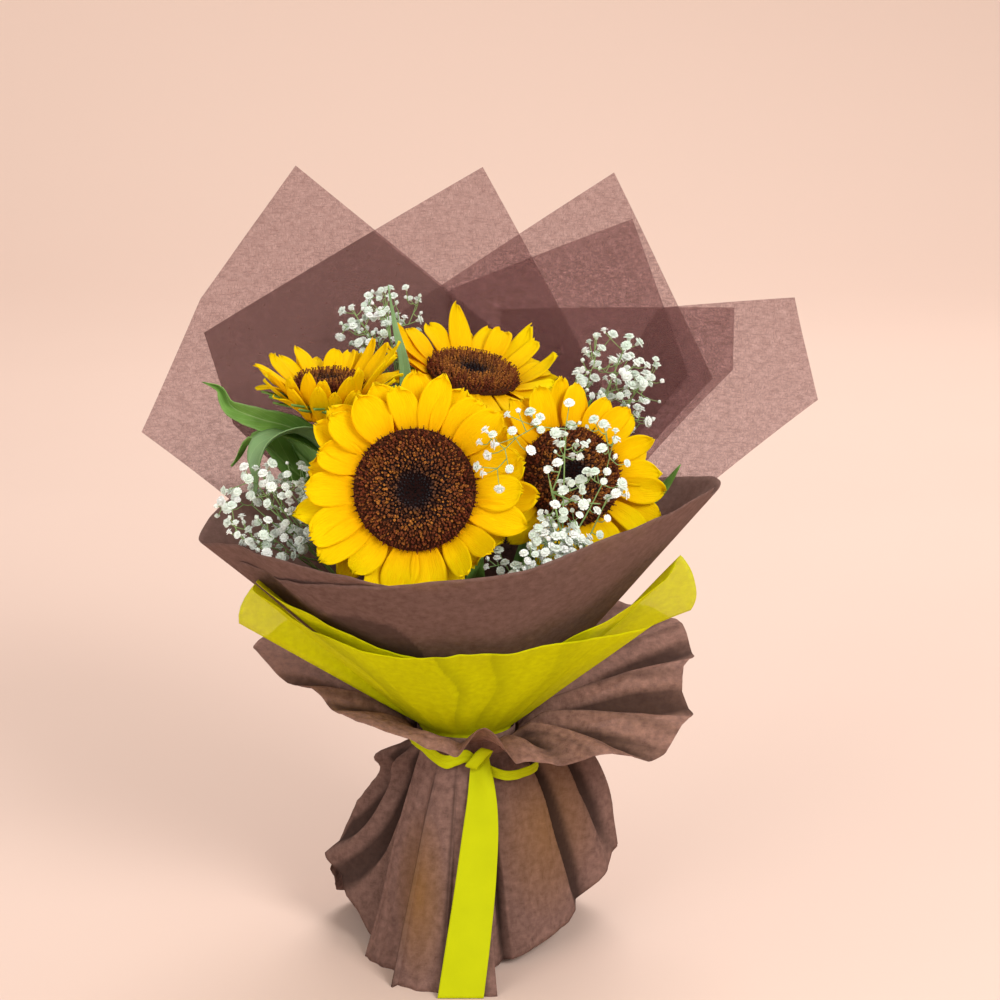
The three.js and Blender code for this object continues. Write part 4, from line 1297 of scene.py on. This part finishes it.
# the folds seen from in front, then those round the back
COLLAR_FOLDS = [
    (330, 8, 6, 6), (338, -10, 5, 4), (346, 9, 5, 1), (353, -13, 5, -1), (1, 9, 5, -2), (8, -12, 5, -3),
    (16, 9, 6, -3), (24, -6, 5, 0), (320, -7, 6, 7), (309, 4, 7, 4), (206, 5, 7, 0), (198, -8, 5, -2),
    (190, 8, 5, -3), (182, -9, 5, -4), (173, 6, 6, -4), (165, -6, 5, -2),
    *chance_folds(17, 30, 166, 8, 15, 5.0),
]
# the painted shade of sharp creases that run out from the tie, drawn only as dark lines: (angle, drift)
COLLAR_CREASES = [
    (325, 5), (334, 8), (341, 3), (349, 6), (356, -1), (3, 2), (9, -5), (17, -2), (184, -4), (192, -3),
    (200, 2),
]
CREASE_HALF = 1.8


def collar_fold(turn, out):
    """How far the folds of the collar lift it there, in mm."""
    room = clamp(max(straight(COLLAR_REACH, turn) - 45, 0) / 40)
    return fold_height(COLLAR_FOLDS, turn, out) * min(out / 0.15, 1) * (1 - 0.7 * out) * room


def collar_shade(u, v):
    """How dark the collar is at u and v: its valleys and creases lie in deep shade near the tie."""
    out = max(v - COLLAR_UNDER_TIE, 0) / (1 - COLLAR_UNDER_TIE)
    valley = max(-collar_fold(360 * u, out) / 4, 0) + 0.3 * exp(-((out / 0.3) ** 2))
    crease = max(ridge(360 * u + drift * out, centre, CREASE_HALF) for centre, drift in COLLAR_CREASES)
    return min(valley + 0.95 * crease * (1 - 0.6 * out) * min(out * 6, 1), 1)


def collar_point(u, v):
    """The point of the collar: u goes round it and v out from its lower edge."""
    turn = 360 * u
    if v < COLLAR_UNDER_TIE:
        return at(*polar(COLLAR_AT_TIE, turn, lerp(COLLAR_BOTTOM, COLLAR_FLARE, v / COLLAR_UNDER_TIE)))
    out = (v - COLLAR_UNDER_TIE) / (1 - COLLAR_UNDER_TIE)
    reach = straight(COLLAR_REACH, turn)
    arch = clamp((22 - abs(turn - 278)) / 8)
    rim = lerp(straight(COLLAR_HEIGHT, turn), line(COLLAR_HEIGHT, turn), arch)
    lift = 20 * out * (1 - out) * (1 - 0.5 * arch)
    pleat = 1.2 * wave(COLLAR_PLEATS * turn) * out * (1 - 0.4 * out)
    fold = collar_fold(turn, out)
    round_x, round_y = cos(radians(turn)), sin(radians(turn))
    crinkle = 3.0 * noise.noise(Vector((round_x * 4, round_y * 4, 2.2 * out)))
    crinkle += 1.3 * noise.noise(Vector((round_x * 11, round_y * 11, 7 * out)))
    radius = lerp(COLLAR_AT_TIE, reach, out) + 0.12 * fold
    height = lerp(COLLAR_FLARE, rim, out) + lift + pleat + fold + crinkle * out * (1 - 0.4 * out)
    return at(*polar(radius, turn, height))


collar_cloth = cloth(
    "brown_nonwoven_collar", (0.165, 0.083, 0.064), (0.37, 0.20, 0.15), 0.8, glowing=0.15, mottle=0.7,
)
collar = thin_piece(
    "sheet_collar", 480, 40, collar_point, collar_cloth, SHEET_THICKNESS, tint=collar_shade, closed=True,
)
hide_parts("collar")
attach(collar, "root")


# ---- skirt ----
# The lower ends of the wrap, two brown sheets that fall from the ribbon round the stems in soft
# pleats to the surface. Tails of the yellow sheets shine through them here and there.
SKIRT_AT_TIE = 27.45
APRON_AT_TIE = 28.55
APRON_AT_TIE = 28.55
SKIRT_TOP = 129.5
SKIRT_FLARE = 118
SKIRT_UNDER = 0.9  # the share of its rows that lie below SKIRT_FLARE, and of those above
SKIRT_ABOVE = 0.1
SKIRT_FROM = -84
SKIRT_TO = 207
SKIRT_PLEATS = 21.65
SKIRT_ROWS = 44
SKIRT_REACH = [
    (-84, 58), (-66, 51), (-45, 51), (-20, 56), (0, 68), (14, 90), (30, 88), (50, 82), (90, 78), (130, 80),
    (155, 84), (173, 81), (185, 69), (198, 58), (207, 52),
]
SKIRT_HEM = [
    (-84, 0), (-60, 4), (-30, 10), (-14, 14), (0, 24), (14, 47), (30, 22), (50, 0), (135, 0), (155, 12),
    (173, 46), (185, 26), (198, 9), (207, 3),
]
SKIRT_SHOULDER = [
    (-84, 0.9), (-60, 0.8), (-30, 0.55), (0, 0.24), (20, 0.24), (60, 0.5), (120, 0.55), (160, 0.8),
    (207, 0.9),
]
SKIRT_FOLDS = [
    (-79, 6, 5, 0), (-69, -10, 5, 5), (-52, 3, 12, 6), (-26, 4, 9, 8), (-16, -14, 6, 14), (-6, 9, 6, 12),
    (4, -9, 5, 8), (13, 6, 5, 0), (205, -14, 6, -26), (198, 10, 5, -24), (191, -14, 6, -22),
    (183, 9, 6, -18), (174, -11, 7, -12), (164, 7, 6, -6), *chance_folds(29, 24, 152, 8, 15, 6.0),
]
APRON_REACH = [(208, 67), (226, 63), (234, 61), (240, 80), (259, 77), (270, 81), (282, 83)]
APRON_PANELS = (208, 241, 262, 282)


def skirt_point(sheet, u, v):
    """The point of a sheet of the skirt: u goes round it and v up from its hem."""
    at_tie = sheet["at_tie"]
    turn = lerp(*sheet["ends"], u)
    if v > SKIRT_UNDER:
        above = (v - SKIRT_UNDER) / SKIRT_ABOVE
        return at(*polar(at_tie, turn, lerp(SKIRT_FLARE, SKIRT_TOP, above)))
    down = 1 - v / SKIRT_UNDER
    spread = down ** straight(sheet["shoulder"], turn)
    height = lerp(SKIRT_FLARE, straight(sheet["hem"], turn), down)
    crinkle = 1.5 * noise.noise(Vector((turn / 14, down * 3.1, at_tie))) * min(down * 4, 1)
    radius = lerp(at_tie, straight(sheet["reach"], turn), spread) + sheet["pleat"](turn, down, height)
    return at(*polar(max(radius + crinkle, at_tie), turn, height))


def skirt_fold(turn, down):
    """How far the folds round the back and the sides stand out there, in mm."""
    return fold_height(SKIRT_FOLDS, turn, -down) * min(down * 7, 1) * (1 - 0.7 * down)


def back_pleat(turn, down, height):
    """The folds of the sheet round the back and the sides, and its puff under the collar on the left."""
    broad = 1.6 * wave(SKIRT_PLEATS * (turn - SKIRT_FROM) + 90) * down * (1 - 0.6 * down) * (turn > 16)
    puff = 13 * exp(-(((turn - 183) / 15) ** 2) - ((height - 111) / 7) ** 2)
    return broad + skirt_fold(turn, down) + puff


def back_shade(u, v):
    """How dark the back sheet is at u and v: painted shade deep in its folds, and on the left, away from the
    key lamp.
    """
    down = clamp(1 - v / SKIRT_UNDER)
    turn = lerp(SKIRT_FROM, SKIRT_TO, u)
    far_side = 0.3 * clamp((turn - 150) / 20)
    return min(max(-skirt_fold(turn, down) / 3.5, 0) + far_side, 1)


def apron_shade(u, v):
    """How dark the front sheet is at u and v: painted shade beside the edges of its panels."""
    turn = lerp(APRON_PANELS[0], APRON_PANELS[-1], u)
    edges = max(ridge(turn, edge - 1.5, 2.2) for edge in APRON_PANELS[1:3])
    return 0.8 * edges * min(max(1 - v, 0) * 4, 1)


def apron_pleat(turn, down, height):
    """The three flat panels of the front sheet, each lapped over the next, with a soft fold in each."""
    panel = sum(turn >= edge for edge in APRON_PANELS[1:-1])
    left, right = APRON_PANELS[panel:panel + 2]
    across = (turn - left) / (right - left)
    lap = 4.6 * (across - 0.5) + 1.5 * (1 - abs(2 * across - 0.9)) * min(across * 9, 1)
    return lap * down + 0.4 * sin(radians(39 * turn)) * down


# where the tails of the yellow sheets show through: (middle in metres, 1 / radius)
YELLOW_TAILS = (((0.052, -0.03, 0.078), (26, 20, 17)), ((-0.026, -0.06, 0.05), (60, 20, 20)))


def yellow_inside(fabric, where, shade):
    """Lets the tails of the yellow sheets show through, low on the right and in the middle."""
    for centre, size in YELLOW_TAILS:
        moved = fabric.add(
            "Mapping", Vector=where, Scale=size,
            Location=tuple(-s * (c + a) for s, c, a in zip(size, centre, (AXIS.x, AXIS.y, 0))),
        )
        ball = fabric.add("TexGradient", gradient_type="SPHERICAL", Vector=moved.outputs[0])
        shade = fabric.mix(fabric.times(ball.outputs["Fac"], 0.75), shade, (0.26, 0.12, 0.02))
    return shade


skirt_cloth = cloth(
    "brown_nonwoven_skirt", (0.14, 0.076, 0.06), (0.285, 0.16, 0.126), 0.86,
    tinted=yellow_inside, glowing=0.2, mottle=0.6,
)
SKIRTS = [
    dict(
        name="skirt_back", columns=480, flat=(0.38, 0.14), area=0.045, ends=(SKIRT_FROM, SKIRT_TO),
        at_tie=SKIRT_AT_TIE, reach=SKIRT_REACH, hem=SKIRT_HEM, shoulder=SKIRT_SHOULDER,
        pleat=back_pleat, shade=back_shade,
    ),
    dict(
        name="skirt_front", columns=160, flat=(0.1, 0.14), area=0.0099, ends=(208, 282),
        at_tie=APRON_AT_TIE, reach=APRON_REACH, hem=[(208, 0), (282, 0)], shoulder=[(208, 0.95), (282, 0.95)],
        pleat=apron_pleat, shade=apron_shade,
    ),
]
for sheet in SKIRTS:
    name = sheet["name"]
    piece = thin_piece(
        f"sheet_{name}", sheet["columns"], SKIRT_ROWS, lambda u, v: skirt_point(sheet, u, v),
        skirt_cloth, SHEET_THICKNESS, tint=sheet["shade"],
    )
    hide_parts(name)
    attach(piece, "root")


# ---- ribbon ----
# A yellow ribbon 25 mm wide: folded narrow round the waist, tied in one flat knot, with a tail
# that falls in front of the skirt to the surface.
satin = Nodes("yellow_ribbon")
where = satin.where()
ribs = satin.speckle(where, 1400.0, 2.0, (0.2, 0.2, 1))
colour = satin.mix(satin.speckle(where, 60.0), (0.44, 0.47, 0.0), (0.53, 0.56, 0.0))
relief = satin.bump(ribs, 0.25, 0.0002)
weave = satin.thin(0.12, colour, glow_bent=False, Roughness=0.7, Specular_IOR_Level=0.1, Normal=relief)
ribbon_cloth = satin.finish(weave)


RIBBON_THICKNESS = 0.0004
BAND_HEIGHT = [
    (0, 116), (40, 122), (90, 124), (140, 124), (180, 125), (215, 127), (230, 126), (241, 121), (252, 117.5),
    (262, 119.5), (272, 121), (285, 115), (305, 109), (325, 110), (345, 113), (360, 116),
]
BAND_RADIUS = [
    (0, 36), (90, 31.6), (190, 32), (225, 38), (250, 36), (270, 34.5), (290, 35.5), (315, 42), (330, 45),
    (345, 41), (360, 36),
]


def band_point(u, v):
    """The point of the band: u goes round the waist and v up across it."""
    turn = 360 * u
    half = 3.3 + 0.6 * sin(radians(3 * turn + 40))
    crease = 0.35 * sin(2 * pi * v * 2.5 + radians(5 * turn)) + 0.2 * sin(radians(37 * turn))
    height = line(BAND_HEIGHT, turn) + (2 * v - 1) * half
    return at(*polar(line(BAND_RADIUS, turn) + crease * 0.6, turn, height))


band = thin_piece("ribbon_band", 220, 10, band_point, ribbon_cloth, RIBBON_THICKNESS, closed=True)

KNOT = (7.5, -35.0, 120.5)


def knot_point(u, v):
    """The point of the knot: the ribbon wrapped once round itself, u round it and v across it."""
    turn = radians(360 * u)
    slant = 2 * v - 1
    round_x = (8.6 - 1.6 * slant**2) * cos(turn)
    round_z = (5.2 - 1.4 * slant**2) * sin(turn)
    crease = 0.4 * sin(5 * pi * v) + 0.3 * sin(4 * turn)
    return at(
        KNOT[0] + (round_x + crease) * 0.62 + slant * 3.2,
        KNOT[1] - 1.8 - (3.1 - 1.2 * slant**2) * sin(turn) * 0.7 + 0.6 * cos(turn),
        KNOT[2] + round_z * 0.4 - slant * 1.0 + 5.0 * cos(turn),
    )


knot = thin_piece("ribbon_knot", 48, 12, knot_point, ribbon_cloth, RIBBON_THICKNESS, closed=True)

TAIL_MIDDLE = [(0, -2.5), (30, 2), (60, 6), (95, 9), (121, 8)]
# half of the ribbon's width at the hem, and less further up, where it is gathered to the knot
TAIL_HALF = [(0, 12.6), (30, 12), (60, 11), (85, 9.6), (105, 7.2), (121, 4.6)]


def tail_point(u, v):
    """The point of the tail: u across it and v up from its cut end."""
    height = lerp(0.3, KNOT[2], v)
    down = clamp(1 - height / SKIRT_FLARE)
    out = APRON_AT_TIE + 3.9 + 53.4 * down**0.95
    across = 2 * u - 1
    fold = 1.6 * exp(-((v - 0.9) / 0.09) ** 2) * sin(2.4 * across + 0.6)
    sway = 0.9 * sin(9 * v + 1.1 * across) * (1 - v) * min(v * 5, 1)
    return at(line(TAIL_MIDDLE, height) + across * line(TAIL_HALF, height), -out - fold - sway, height)


tail = thin_piece("ribbon_tail", 24, 90, tail_point, ribbon_cloth, RIBBON_THICKNESS)
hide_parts("ribbon")
for piece in (band, knot, tail):
    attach(piece, "root")
